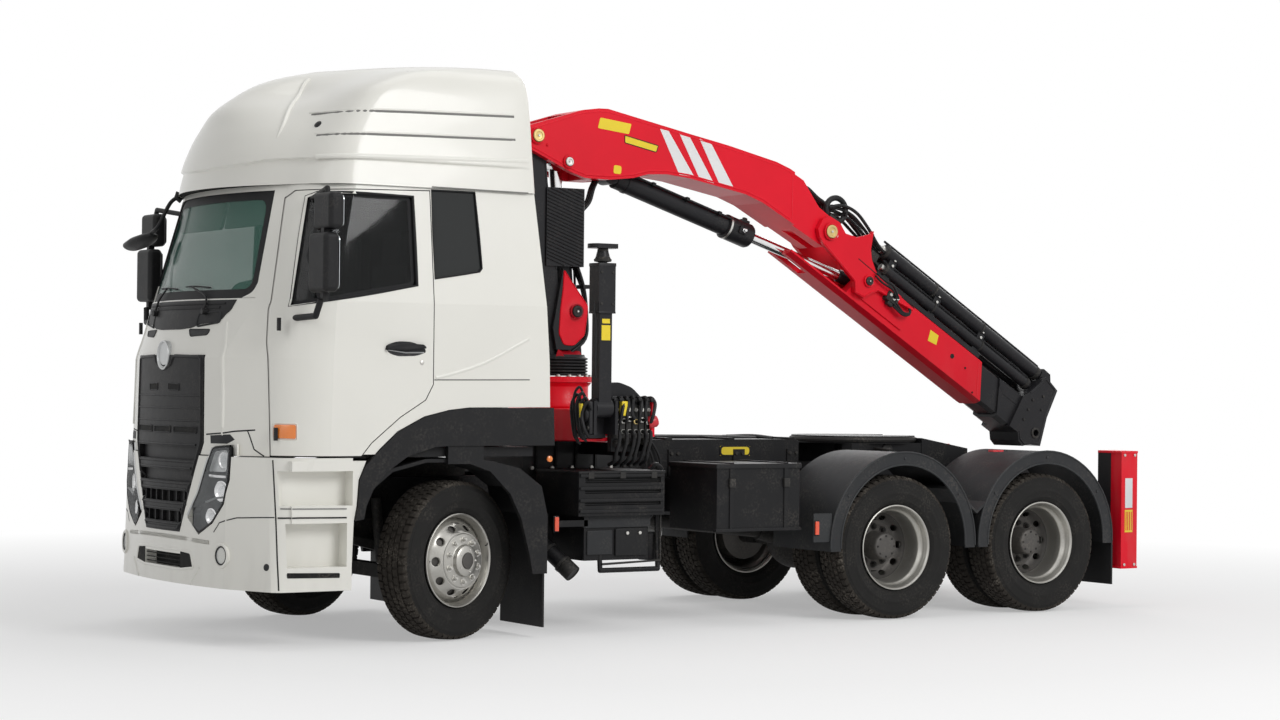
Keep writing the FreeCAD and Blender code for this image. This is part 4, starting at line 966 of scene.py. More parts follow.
def front_creases():
    """Pressed ridges of the front panel and the lines where its panels meet."""
    piece = Piece("front_creases", "truck", "cab_white")
    gaps = Piece("front_panel_gaps", "truck", "black_plastic")
    for side in (1, -1):
        ridge = [(651, 2026), (703, 1866), (723, 1578), (731, 1362)]
        front_skin.strip(piece, mirror(ridge, side), 30, 7, cab_paint, 40, True)
        lower = [(571, 1318), (740, 1330), (812, 1342), (940, 1352)]
        front_skin.strip(gaps, mirror(lower, side), 9, 1.0, seal_rubber)
        patch = [(617, 1312), (784, 1322), (815, 1290), (770, 1264), (623, 1262)]
        front_skin.sheet(gaps, mirror(patch, side), 2.0, grey_plastic, 40)
        corner = [(893, 1345), (905, 1320), (940, 1232), (1010, 1186)]
        front_skin.strip(gaps, mirror(corner, side), 8, 1.0, seal_rubber)
        top = [(700, 708), (760, 770), (900, 806), (1080, 815), (1160, 818)]
        front_skin.strip(gaps, mirror(top, side), 7, 1.0, seal_rubber)
        front_skin.strip(piece, mirror([(541, 476), (428, 367)], side), 22, 6, cab_paint, 30, True)
        chin = [(-650, 640), (-300, 652), (0, 655), (300, 652), (650, 640)]
        front_skin.strip(piece, mirror(chin, side), 26, 6, cab_paint, 40, True)
    piece.build()
    gaps.build()


def badge_disc():
    """A blank round badge with a raised ring."""
    piece = Piece("blank_badge", "truck", "lamp_lens")
    place = facing((1480, 0, 1818), (1, 0, 0.01))
    piece.turned([(96, -30), (96, 14), (92, 19), (86, 19), (82, 15), (80, 10), (72, 8), (40, 10), (0, 11)],
                 silver_paint, place, 64)
    piece.build()


def grille_slot(piece, slot, step, width, high):
    """A slot drawn as a near-black sheet of painted shade, with a crowned lip."""
    front_skin.sheet(piece, slot, 1.2, shade_black, step)
    front_skin.strip(piece, slot, width, high, black_plastic, 40, True, True)


def grille_details():
    """The grille's outline, its four openings with their fins, and ridges and slots between them."""
    piece = Piece("grille_bars", "truck", "black_plastic")
    lip = [(-500, 1806), (-150, 1814), (-118, 1760), (0, 1724), (118, 1760), (150, 1814), (500, 1806),
           (519, 1265), (262, 708), (-262, 708), (-519, 1265)]
    front_skin.strip(piece, rounded(lip, 30), 22, 9, black_plastic, 40, True, True)
    for z0, z1, half, fins in ((1150, 1235, 470, 0), (1010, 1085, 420, 0), (880, 950, 370, 7),
                               (750, 820, 300, 5)):
        middle, tall = (z0 + z1) / 2, z1 - z0
        for k in range(fins):
            y = -half + 2 * half * (k + 0.5) / fins
            spot = front_skin.find(y, z0 - 8)
            x = spot[0].x if spot else 1450
            piece.block((x - 34, y - 4, middle - tall / 2 - 2), (x - 9, y + 4, middle + tall / 2 + 2),
                        black_plastic)
        for z in (z0 + 2, z1 - 2):
            beside = z + math.copysign(14, z - middle)
            edge = [(y, beside) for y in (-half + 8, -half / 2, 0, half / 2, half - 8)]
            front_skin.strip(piece, edge, 16, 7, black_plastic, 50, True)
    for z in (1480, 1560, 1400):
        front_skin.strip(piece, [(-505, z), (0, z), (505, z)], 12, 5, black_plastic, 50, True)
    for y0, y1 in ((-470, -180), (-130, 130), (180, 470)):
        grille_slot(piece, oblong((y0, 1322), (y1, 1362), 12), 50, 9, 6)
    for side in (1, -1):
        slot = rounded(mirror([(90, 1596), (240, 1592), (240, 1634), (90, 1638)], side), 10)
        grille_slot(piece, slot, 40, 8, 5)
    piece.build()


lamp_outline = [(668, 1239), (835, 1255), (833, 1040), (794, 888), (680, 767), (524, 690), (387, 787),
                (517, 947), (602, 1123)]


def lamps():
    """Headlamps with their inner units behind a clear lens, fog lamps and the chin intake."""
    piece = Piece("headlamp_units", "truck", "lamp_lens", ["headlamps"])
    lamp_skin = Skin("front", "headlamps")
    for side in (1, -1):
        shape = rounded(lamp_outline, 26)
        middle_y, middle_z = (sum(numbers) / len(shape) for numbers in zip(*shape))
        inset = mirror(scaled(shape, middle_y, middle_z, 0.985), side)
        piece.block((1338, 770 * side, 1186), (1350, 862 * side, 1262), cab_paint, soft=3)
        # A near-black sheet of painted shade inside the lamp, behind the lens.
        lamp_skin.sheet(piece, inset, -50.0, shade_black, 45)
        lamp_skin.sheet(piece, inset, 0.0, clear_lens, 45)
        lamp_skin.strip(piece, inset, 11, 1.5, black_plastic, 35, False, True)
        housing = rounded([(625, 1085), (812, 1088), (818, 1225), (690, 1215)], 24)
        lamp_skin.sheet(piece, mirror(housing, side), -30.0, silver_paint, 40)
        for y, z, radius in ((742, 1160, 52), (716, 965, 58), (612, 800, 46)):
            spot = lamp_skin.find(y * side, z)
            place = facing(spot[0] + Vector((-46, 0, 0)), (0.96, 0.28 * side, 0))
            piece.turned([(radius + 10, -2), (radius + 8, 16), (radius, 20), (radius - 8, 12),
                          (radius * 0.5, 2), (0, 0)], chrome, place, 40)
            piece.turned([(radius * 0.55, 4), (radius * 0.5, 16), (radius * 0.3, 24), (0, 26)], clear_lens,
                         place, 32)
        lamp_skin.strip(piece, mirror([(628, 1062), (720, 1058), (812, 1057)], side), 16, -16, chrome, 30,
                        True)
        lamp_skin.strip(piece, mirror([(600, 890), (700, 920), (795, 930)], side), 12, -18, silver_paint, 30,
                        True)
        front_skin.strip(piece, mirror([(640, 1236), (588, 1118), (503, 950), (380, 800)], side), 16, 7,
                         silver_paint, 30, True)
    piece.build()
    fog = Piece("fog_lamps", "truck", "lamp_lens")
    for side in (1, -1):
        spot, normal = front_skin.find(793 * side, 566)
        place = facing(spot, normal)
        fog.turned([(80, -12), (80, 7), (72, 12), (62, 9), (57, -2)], cab_paint, place, 48)
        fog.turned([(60, 4), (58, 8), (53, 8), (51, 3)], black_plastic, place, 48)
        fog.turned([(56, -2), (50, 4), (30, 9), (0, 11)], clear_lens, place, 40)
        fog.turned([(55, 2), (40, -4), (0, -8)], silver_paint, place, 40)
        spot, normal = front_skin.find(1150 * side, 512)
        fog.turned([(22, -4), (22, 2), (18, 4), (0, 4)], grey_plastic, facing(spot, normal), 24)
    fog.build()
    chin = Piece("chin_intake", "truck", "black_plastic")
    outline = rounded([(-470, 470), (-300, 452), (300, 452), (470, 470), (430, 566), (300, 574), (-300, 574),
                       (-430, 566)], 20)
    chin_skin = Skin("front", "bumper")
    # The intake's opening is near-black sheets, a block and slats of painted shade.
    for side in (1, -1):
        wing = mirror([(292, 454), (462, 472), (424, 564), (292, 572)], side)
        chin_skin.sheet(chin, wing, 1.5, shade_black, 60)
    chin_skin.strip(chin, outline, 20, 7, cab_paint, 50, True, True)
    chin.block((1380, -294, 452), (1400, 294, 556), shade_black)
    for z in (478, 505, 532):
        front = [(1474 - abs(y) * 0.02, y, z) for y in (-290, -150, 0, 150, 290)]
        chin.tube(front, 4, shade_black, 6)
    chin.build()


def roof_details():
    """Grooves drawn as grey strips of painted shadow, ridges and marker lamps of the high roof."""
    piece = Piece("roof_ridges_and_groove_shadows", "truck", "cab_white")
    lamp = Piece("roof_markers", "truck", "lamp_lens")
    for name, side in flanks:
        skin = Skin(name, "high_roof")
        for line in ([(812, 3362), (300, 3380), (-465, 3400)], [(866, 3212), (300, 3228), (-460, 3246)]):
            # Each groove is a grey strip of painted shadow, with a ridge above it.
            skin.strip(piece, line, 16, 2.0, seam_shadow_grey, 40, True)
            skin.strip(piece, [(x, z + 13) for x, z in line], 13, 4.5, cab_paint, 40, True)
        skin.strip(piece, [(905, 3072), (300, 3086), (-560, 3112)], 30, 8, cab_paint, 40, True)
        spot, normal = skin.find(829, 3288)
        place = facing(spot, normal)
        lamp.turned([(26, -3), (26, 3), (22, 5), (18, 4)], grey_plastic, place, 32)
        lamp.turned([(18, 3), (12, 7), (0, 8)], black_plastic, place, 24)
    for side in (1, -1):
        ridge = [(row[2] - 2, (row[3] - 1) * side, row[0]) for row in roof_rows if 3070 < row[0] < 3650]
        piece.tube(ridge, 16, cab_paint, 12)
    piece.build()
    lamp.build()


door_y = 1245  # the door's skin, from the middle plane


def side_details():
    """Handles, seals, markers and seams of the doors, side walls and steps."""
    for name, side in flanks:
        door_skin = Skin(name, "door_" + name)
        wall_skin = Skin(name, "cab_sides", "cab_rear", "high_roof")
        handle = Piece("door_handle_" + name, "door_" + name, "black_plastic")
        cup = rounded([(505, 1845), (520, 1890), (440, 1918), (330, 1915), (245, 1880), (232, 1850),
                       (300, 1826), (440, 1822)], 40)
        door_skin.sheet(handle, cup, 1.5, grey_plastic, 40)
        place = outward(375, door_y, 1872, side)
        grip = rounded(mirror([(150, -12), (140, 22), (0, 34), (-120, 26), (-140, 2), (0, -8)], -side), 14)
        handle.plate(grip, 0, 26, black_plastic, place, 6)
        door_skin.strip(handle, [(505, 1862), (380, 1846), (250, 1848)], 10, 6, silver_paint, 30, True)
        handle.turned([(15, -2), (15, 4), (12, 6), (0, 6)], zinc, outward(262, door_y, 1785, side), 24)
        for y, z in ((1092, 1330), (1120, 2010)):
            handle.block((1186, y * side - 10, z - 40), (1206, y * side + 10, z + 40), black_plastic)
        handle.build()
        trim = Piece("door_trim_" + name, "door_" + name, "black_plastic")
        door_skin.reveal(trim, [(1108, 2130), (300, 2275), (305, 2835), (900, 2840), (955, 2812)], 24,
                         seal_rubber, 14)
        glass_skin = Skin(name, "glass_" + name)
        inner = rounded([(1090, 2140), (316, 2282), (321, 2826), (896, 2830), (942, 2806)], 30)
        glass_skin.strip(trim, inner, 26, 2.0, seal_rubber, 40, False, True)
        glass_skin.strip(trim, [(955, 2170), (985, 2440), (905, 2700), (880, 2826)], 24, 3.0, seal_rubber, 40)
        trim.build()
        lamp = Piece("amber_marker_" + name, "door_" + name, "lamp_lens")
        door_skin.sheet(lamp, rounded([(1190, 1306), (1092, 1302), (1092, 1388), (1190, 1388)], 10), 12.0,
                        amber, 30, 4.0)
        door_skin.strip(lamp, rounded([(1197, 1298), (1086, 1294), (1086, 1396), (1197, 1396)], 12), 9, 5,
                        cab_paint, 30, True, True)
        lamp.build()
        wall = Piece("side_trim_" + name, "truck", "cab_white")
        swoosh = [(160, 1690), (60, 1712), (-86, 1752), (-200, 1792), (-306, 1841), (-420, 1900),
                  (-520, 1950)]
        wall_skin.strip(wall, swoosh, 26, 7, cab_paint, 40, True)
        # The two seam lines are grey strips of painted shadow.
        wall_skin.strip(wall, [(172, 1676), (-160, 1679), (-530, 1683)], 8, 1.0, seam_shadow_grey, 60)
        wall_skin.strip(wall, [(172, 2906), (-300, 2902), (-540, 2900)], 9, 2.0, seam_shadow_grey, 60)
        quarter = [(165, 2320), (-160, 2375), (-180, 2400), (-150, 2885), (165, 2885)]
        wall_skin.reveal(wall, quarter, 16, seal_rubber, 7)
        wall.build()
        steps = Piece("step_seams_and_shade_" + name, "truck", "black_plastic")
        steps.block((1136, 1116 * side, 884), (1170, 1131 * side, 1030), cab_paint)
        step_skin = Skin(name, "bumper")
        # A near-black sheet of painted shade in the step's lower recess.
        step_skin.sheet(steps, rounded([(1180, 447), (822, 440), (822, 470), (1180, 480)], 8), 1.5,
                        shade_black, 40)
        # The two lines between the step recesses are painted shade under their edges.
        step_skin.strip(steps, [(1215, 815), (1100, 817), (780, 813)], 9, 3.5, seal_rubber, 12)
        step_skin.strip(steps, [(1200, 872), (1100, 872), (780, 868)], 7, 3.5, seam_shadow_grey, 12)
        step_skin.strip(steps, [(1219, 1170), (1224, 817), (1229, 560), (1229, 372)], 9, 1.2, seal_rubber, 50)
        steps.build()


def kerb_mirror():
    """A wide mirror hung on a bent arm from the screen's top right corner."""
    piece = Piece("kerb_mirror", "truck", "black_plastic")
    root = front_skin.find(-690, 2905)[0]
    arm = [root, root + Vector((60, -20, -50)), Vector((1240, -720, 2700)), Vector((1250, -820, 2655))]
    piece.hose(arm, 6, 14, black_plastic, 10)
    rings = []
    for t, wide, deep in ((-1.0, 14, 8), (-0.9, 44, 22), (-0.5, 70, 36), (0.1, 84, 42), (0.7, 72, 36),
                          (0.94, 40, 20), (1.0, 12, 8)):
        middle = Vector((1250, -1000, 2604)) + Vector((10, -195, -34)) * t
        rings.append([middle + Vector((x, 0, z)) for x, z in circle(wide, 20, squeeze=deep / wide)])
    piece.loft(rings, black_plastic)
    piece.tube([root + Vector((-12, 0, -30)), root + Vector((20, -6, -10)), root + Vector((6, 0, 26))], 20,
               black_plastic, 12)
    piece.build()


def cab_inside():
    """Sun visors, instrument hood, steering wheel boss and the side curtains."""
    piece = Piece("cab_inside_trim", "truck", "black_plastic")
    for y0, y1 in ((-690, -30), (30, 690)):
        visor = oblong((y0, 2650), (y1, 2850), 30)
        piece.loft([[(x - (z - 2650) * 0.24, y, z) for y, z in visor] for x in (1070, 1092)], black_plastic)
    turns = [math.pi * k / 16 for k in range(17)]
    hood = [(560 + 290 * math.cos(a), 2070 + 240 * math.sin(a)) for a in turns]
    # The instrument hood is in the near-black of painted shade inside the cab.
    piece.loft([[(x, y, z) for y, z in scaled(hood, 560, 2070, scale)]
                for x, scale in ((1200, 0.9), (1100, 1.0), (930, 0.96), (900, 0.9))], shade_black)
    piece.turned([(74, 0), (70, 20), (30, 34), (0, 36)], black_plastic,
                 facing((690, 560, 2065), (-230, 0, 100)), 32)
    for side in (1, -1):
        folds = [(-500 + 640 * k / 24, 1150 * side + 9 * math.sin(k * 1.9)) for k in range(25)]
        piece.plate(folds + [(x, y - 6 * side) for x, y in reversed(folds)], 1900, 2820, cloth)
    piece.build()


def mirror_details():
    """The glasses of the two mirrors at each door."""
    for name, side in flanks:
        piece = Piece("mirror_glasses_" + name, "door_" + name, "black_plastic")
        for x, z0, z1 in ((950, 2612, 2800), (976, 2228, 2550)):
            y0, y1 = sorted((1288 * side, 1500 * side))
            outline = mirror(oblong((y0, z0), (y1, z1), 26), -1)
            piece.plate(outline, 1, 4, mirror_glass, facing((x, 0, 0), (-1, 0, 0)))
        piece.build()


windscreen_frame()
cowl()
front_creases()
badge_disc()
grille_details()
lamps()
roof_details()
side_details()
kerb_mirror()
cab_inside()
mirror_details()

# ---- crane -------------------------------------------------------------------------
# The outer boom's own directions: u runs along it to its tip and v up from that.
outer_slope = math.radians(31.0)
knuckle = Vector((-3744.0, 0.0, 2821.0))
along_u = Vector((-math.cos(outer_slope), 0, -math.sin(outer_slope)))
along_v = Vector((-math.sin(outer_slope), 0, math.cos(outer_slope)))
fold_foot = Vector((-1890.0, 0.0, 3161.0))
lift_foot, lift_pin = Vector((-1530.0, 0.0, 2170.0)), Vector((-1446.0, 0.0, 3221.0))
boom_pin = Vector((-1190.0, 0.0, 3390.0))
fold_barrel_share, lift_barrel_share = 0.558, 0.82  # how much of each cylinder is its barrel
slewing_x = -1490
rail_y = 430  # the outer face of the frame's rails
beam_x = {"left": -1105.0, "right": -1325.0}
leg_y = 1205


def outer_point(u, v, y=0.0):
    return knuckle + along_u * u + along_v * v + Vector((0, y, 0))


def outer_place(u, v, y=0.0):
    """A place on the outer boom whose own Z runs along it."""
    return facing(outer_point(u, v, y), along_u, along_v)


def outer_line(*spots):
    """Places on the outer boom, given by u and v, as the skins seen from the sides take them."""
    return [(p.x, p.z) for p in (outer_point(u, v) for u, v in spots)]


def outer_hose(piece, spots, steps, radius, sides):
    """A hose through places on the outer boom."""
    piece.hose([outer_point(*spot) for spot in spots], steps, radius, hose_rubber, sides)


fold_eye = outer_point(500.0, -120.0)


def pin_end(piece, centre, side, y, radius, finish, ring):
    """The end of a pin: a turned cap with a groove, its retaining ring and a grease nipple."""
    place = outward(centre[0], y, centre[2], side)
    piece.turned([(radius + 14, -4), (radius + 14, 5), (radius + 9, 8), (radius + 4, 6), (radius + 2, 2)],
                 ring, place, 40)
    piece.turned([(radius, -2), (radius, 13), (radius - 5, 17), (radius * 0.62, 17), (radius * 0.55, 13),
                  (radius * 0.3, 12), (0, 12)], finish, place, 40)
    piece.nut((0, 0, 11), (0, 0, 1), radius * 0.36, 8, zinc, place)


def boom_marks():
    """White bars, blank plates, edge seams and pin ends on each side of the main boom."""
    stripes = [[(-2213, 3501), (-2287, 3490), (-2515, 3171), (-2384, 3180)],
               [(-2380, 3480), (-2473, 3455), (-2687, 3133), (-2561, 3160)],
               [(-2557, 3450), (-2665, 3415), (-2860, 3114), (-2733, 3136)]]
    plates = [[(-1706, 3550), (-1968, 3520), (-1948, 3446), (-1686, 3474)],
              [(-1913, 3436), (-2200, 3378), (-2182, 3330), (-1914, 3383)]]
    for name, side in flanks:
        skin = Skin(name, "main_boom")
        piece = Piece("boom_stripes_" + name, "main_boom", "crane_red")
        for stripe in stripes:
            skin.sheet(piece, stripe, 1.2, stripe_white, 80)
        for plate in plates:
            skin.sheet(piece, rounded(plate, 8, 2), 1.6, plate_yellow, 60)
        skin.strip(piece, rounded(plates[1], 8, 2), 6, 2.4, black_plastic, 50, closed=True)
        skin.sheet(piece, rounded([(-1820, 3160), (-1884, 3156), (-1888, 3214), (-1824, 3220)], 14, 2), 2.0,
                   plate_yellow, 40)
        edge = [(-1140, 3436), (-1560, 3572), (-1690, 3592), (-1780, 3592), (-2480, 3456), (-2820, 3392),
                (-3250, 3296), (-3370, 3254), (-3400, 3236)]
        skin.strip(piece, edge, 10, 2.5, crane_paint, 60, True)
        low = [(-1146, 3312), (-1350, 3226), (-1480, 3172), (-1590, 3138), (-1794, 3138), (-1980, 3158),
               (-2118, 3192), (-2283, 3200), (-2480, 3180), (-2970, 3090), (-3130, 3036), (-3380, 2900)]
        skin.strip(piece, low, 14, 5.0, crane_paint, 60, True)
        skin.strip(piece, [(-3395, 3230), (-3392, 2905)], 14, 5.0, crane_paint, 60, True)
        pin_end(piece, boom_pin, side, 202, 45, brass, crane_paint)
        pin_end(piece, lift_pin, side, 200, 32, zinc, crane_paint)
        for x, z in ((-1230, 3440), (-1275, 3330), (-1110, 3352)):
            piece.side_nut(x, 190, z, side, 20, 9, crane_paint)
        piece.build()


def knuckle_details():
    """Pins, seams and plates of the outer boom, its round hose guide and the hoses over the knuckle."""
    for name, side in flanks:
        skin = Skin(name, "outer_boom")
        piece = Piece("outer_boom_fittings_" + name, "outer_boom", "crane_red")
        pin_end(piece, knuckle, side, 215, 50, brass, crane_paint)
        pin_end(piece, fold_eye, side, 210, 32, cast_iron, crane_paint)
        bolt = outer_point(62, 4)
        piece.side_nut(bolt.x, 200, bolt.z, side, 26, 12, zinc)
        rim = outer_line((8, -102), (189, -140), (392, -182), (444, -252), (520, -240), (612, -126),
                         (975, -76))
        skin.strip(piece, rim, 13, 5, crane_paint, 40, True)
        # A near-black line of painted shade along a seam, and near-black discs of painted shade for holes.
        skin.strip(piece, outer_line((330, -26), (600, -34), (985, -58)), 7, 1.2, shade_black, 40)
        for u, v, radius in ((1530, -150, 19), (1690, -160, 9), (1850, -285, 8)):
            found = skin.find(*outer_line((u, v))[0])
            if found:
                piece.turned([(radius, -3), (radius, 3), (radius * 0.7, 5), (0, 5)], shade_black,
                             facing(*found), 20)
        mark = outer_line((1240, -90), (1330, -86), (1350, -160), (1260, -176))
        skin.sheet(piece, mark, 1.5, plate_yellow, 50)
        skin.strip(piece, outer_line((1785, -50), (1840, -160), (1900, -280)), 16, 5, crane_paint, 40, True)
        piece.build()
    arch = Piece("hose_arch", "outer_boom", "crane_black")
    turns = [math.radians(-60 + 300 * t / 14) for t in range(15)]
    ring = [(42 + 92 * math.cos(a), 232 + 92 * math.sin(a), 60) for a in turns]
    outer_hose(arch, ring, 3, 22, 14)
    arch.block((-40, -50, -46), (40, 40, 46), cast_iron, outer_place(42, 128, 60), 8)
    arch.build()
    hoses = Piece("knuckle_hoses", "outer_boom", "crane_black")
    for k in range(6):
        y = -90 + 36 * k
        lift = 24 * (k % 3)
        line = [(-30, 190 + lift * 0.4, y * 0.8), (60, 235 + lift, y), (200, 262 + lift, y),
                (350, 245 + lift * 0.6, y), (520, 215, y * 0.9), (640, 200, y * 0.9)]
        outer_hose(hoses, line, 6, 13, 10)
    for k in range(4):
        y = -60 + 40 * k
        hoses.rod(outer_point(620, 200, y), outer_point(668, 203, y), 17, zinc, 12)
    for u in (120, 420):
        hoses.block((-100, -14, -6), (100, 14, 6), black_plastic, outer_place(u, 245))
    hoses.block((-88, -50, -40), (88, 30, 44), cast_iron, outer_place(520, 130), 10)
    hoses.build()
    bridge = Piece("bridging_hoses", "main_boom", "crane_black")
    for k in range(5):
        y = -72 + 36 * k
        start, end = Vector((-3560, y, 3165)), outer_point(-24, 186, y * 0.8)
        line = [start, (-3625, y, 3150), (-3715, y, 3085), (-3790, y, 3040), end + Vector((22, 0, 8))]
        bridge.hose(line, 6, 13, hose_rubber, 10)
        bridge.rod(start + Vector((60, 0, 12)), start + Vector((-12, 0, -2)), 17, zinc, 12)
    bridge.build()


def lock_valve_cluster():
    """Load-holding valve and hoses on the left of the outer boom, below the lug plate."""
    piece = Piece("outer_boom_valve", "outer_boom", "crane_black")
    place = facing(outer_point(760, -105, 170), (0, 1, 0), along_v)
    piece.block((-58, -40, -8), (58, 34, 46), cast_iron, place, 8)
    piece.block((-24, -66, 6), (30, -38, 40), cast_iron, place, 5)
    for x, y, tall in ((-34, 8, 30), (6, -6, 38), (36, 14, 24)):
        piece.nut((x, y, 44), (0, 0, 1), 26, 12, zinc, place)
        piece.turned([(9, 50), (9, 50 + tall), (6, 54 + tall), (0, 54 + tall)], black_plastic, place, 14)
    for shift in (0, 26):
        line = [(770 + shift, -90, 232), (700, -66 + shift, 240), (600, -72 + shift, 232),
                (520, -60 + shift, 226)]
        outer_hose(piece, line, 5, 8, 8)
    for shift in (0, 22, 40):
        line = [(790, -120 - shift, 214), (900, -150 - shift * 0.5, 220), (960, -110 - shift * 0.4, 212),
                (930, -70, 190), (860, -40, 180)]
        outer_hose(piece, line, 5, 8, 8)
    piece.build()


def ram_details():
    """Caps, bands and pipes of the extension rams, and the fittings of the extension's head."""
    piece = Piece("ram_fittings", "outer_boom", "crane_black")
    for y, v, outer_r, u0, u1 in ((60, 222, 52, 590, 2405), (-60, 222, 52, 590, 2405),
                                  (78, 92, 44, 640, 2350), (-78, 92, 44, 640, 2350)):
        for u, wide in ((u0, 30), (u1 - 40, 30), (u0 + 560, 18), (u0 + 1120, 18)):
            piece.turned([(outer_r, 0), (outer_r + 6, 3), (outer_r + 6, wide - 3), (outer_r, wide)],
                         cast_iron, outer_place(u, v, y), 28)
        piece.rod(outer_point(u0 - 26, v, y), outer_point(u0 + 4, v, y), outer_r * 0.62, zinc, 18)
        pipe = [(u0 + 40, 6), (u0 + 90, 14), (u1 - 140, 13), (u1 - 90, 4)]
        piece.hose([outer_point(u, v + outer_r + out, y) for u, out in pipe], 4, 8, crane_black_paint, 8)
    for u in (700, 1215, 1735):
        for side in (1, -1):
            for v in (150, 200):
                piece.nut(outer_point(u, v, 97 * side), (0, side, 0), 22, 10, zinc)
    piece.build()
    head = Piece("extension_head_fittings", "extension", "crane_black")
    for name, side in flanks:
        skin = Skin(name, "boom_extension")
        edge = outer_line((2352, 18), (2434, 194), (2562, 168), (2580, -60), (2634, -282), (2556, -316),
                          (2500, -362), (2446, -350), (2410, -300))
        skin.strip(head, edge, 16, 6, crane_black_paint, 40, True)
        tip_x, tip_z = outer_line((2560, -230))[0]
        head.turned([(44, -2), (44, 6), (38, 9), (27, 9), (26, 3)], cast_iron,
                    outward(tip_x, 172, tip_z, side), 32)
        for x, z in outer_line((2400, -20), (2400, -110), (2400, -200), (2480, 60), (2520, -40)):
            head.side_nut(x, 172, z, side, 20, 9, cast_iron)
        wear = outer_line((2060, -70), (2290, -70), (2290, -130), (2075, -130))
        skin.sheet(head, wear, 3, crane_black_paint, 60)
    head.build()


def cylinder_band(piece, place, inner, radius, z, wide, finish):
    """A raised band round a cylinder, from z on."""
    rows = [(inner, z - 2), (radius, z + 1), (radius, z + wide - 1), (inner, z + wide + 2)]
    piece.turned(rows, finish, place, 40)


def fold_cylinder_details():
    """Bands, pipes, clamps, gland and valve of the fold cylinder, and the collar of its rod's eye."""
    place = facing(fold_foot, (fold_eye - fold_foot).normalized())
    length = (fold_eye - fold_foot).length
    mouth = length * fold_barrel_share
    piece = Piece("fold_cylinder_fittings", "fold_barrel", "crane_black")
    for z, radius, wide, finish in ((mouth - 74, 82, 14, crane_black_paint), (mouth - 2, 80, 6, cast_iron),
                                    (mouth - 190, 77, 12, crane_black_paint),
                                    (150, 78, 22, crane_black_paint)):
        cylinder_band(piece, place, 70, radius, z, wide, finish)
    for side in (1, -1):
        line = [(-58 * side, 40, 170), (-70 * side, 52, 200), (-72 * side, 54, 260), (-72 * side, 54, 900),
                (-70 * side, 54, mouth - 220), (-64 * side, 44, mouth - 170), (-56 * side, 34, mouth - 150)]
        piece.hose(line, 4, 9, crane_black_paint, 10, place)
        for z in (330, 640, 940):
            piece.block((-88 * side - 8, 42, z), (-60 * side + 8, 66, z + 26), black_plastic, place)
    piece.turned([(76, mouth - 235), (92, mouth - 228), (92, mouth - 12), (84, mouth + 4), (74, mouth + 6)],
                 crane_black_paint, place, 40)
    piece.turned([(92, mouth - 222), (93.5, mouth - 221), (93.5, mouth - 206), (92, mouth - 205)], zinc,
                 place, 40)
    piece.block((-104, -26, mouth - 150), (-58, 26, mouth - 84), crane_black_paint, place, 6)
    piece.nut((-104, 0, mouth - 116), (-1, 0, 0), 30, 16, chrome, place)
    piece.rod((-118, 0, mouth - 116), (-138, 0, mouth - 116), 12, chrome, 14, place)
    piece.block((-34, 56, mouth - 96), (34, 104, mouth - 34), crane_black_paint, place, 6)
    piece.nut((0, 104, mouth - 66), (0, 1, 0), 34, 18, cast_iron, place)
    piece.build()
    wiper = Piece("fold_rod_eye", "fold_rod", "chrome_rod")
    wiper.turned([(38, length - 160), (48, length - 150), (52, length - 60), (50, length - 40)],
                 crane_black_paint, place, 36)
    wiper.build()


def lift_cylinder_details():
    """Bands and pipes of the lift cylinder."""
    place = facing(lift_foot, (lift_pin - lift_foot).normalized(), (1, 0, 0))
    mouth = (lift_pin - lift_foot).length * lift_barrel_share
    piece = Piece("lift_cylinder_fittings", "lift_barrel", "crane_black")
    for z, radius, wide in ((mouth - 84, 86, 16), (mouth - 4, 84, 8), (130, 84, 24), (420, 82, 12)):
        cylinder_band(piece, place, 76, radius, z, wide, crane_black_paint)
    for side in (1, -1):
        line = [(30 * side, -80, 170), (34 * side, -90, 220), (34 * side, -90, mouth - 160),
                (28 * side, -82, mouth - 110)]
        piece.hose(line, 4, 9, crane_black_paint, 10, place)
    piece.build()


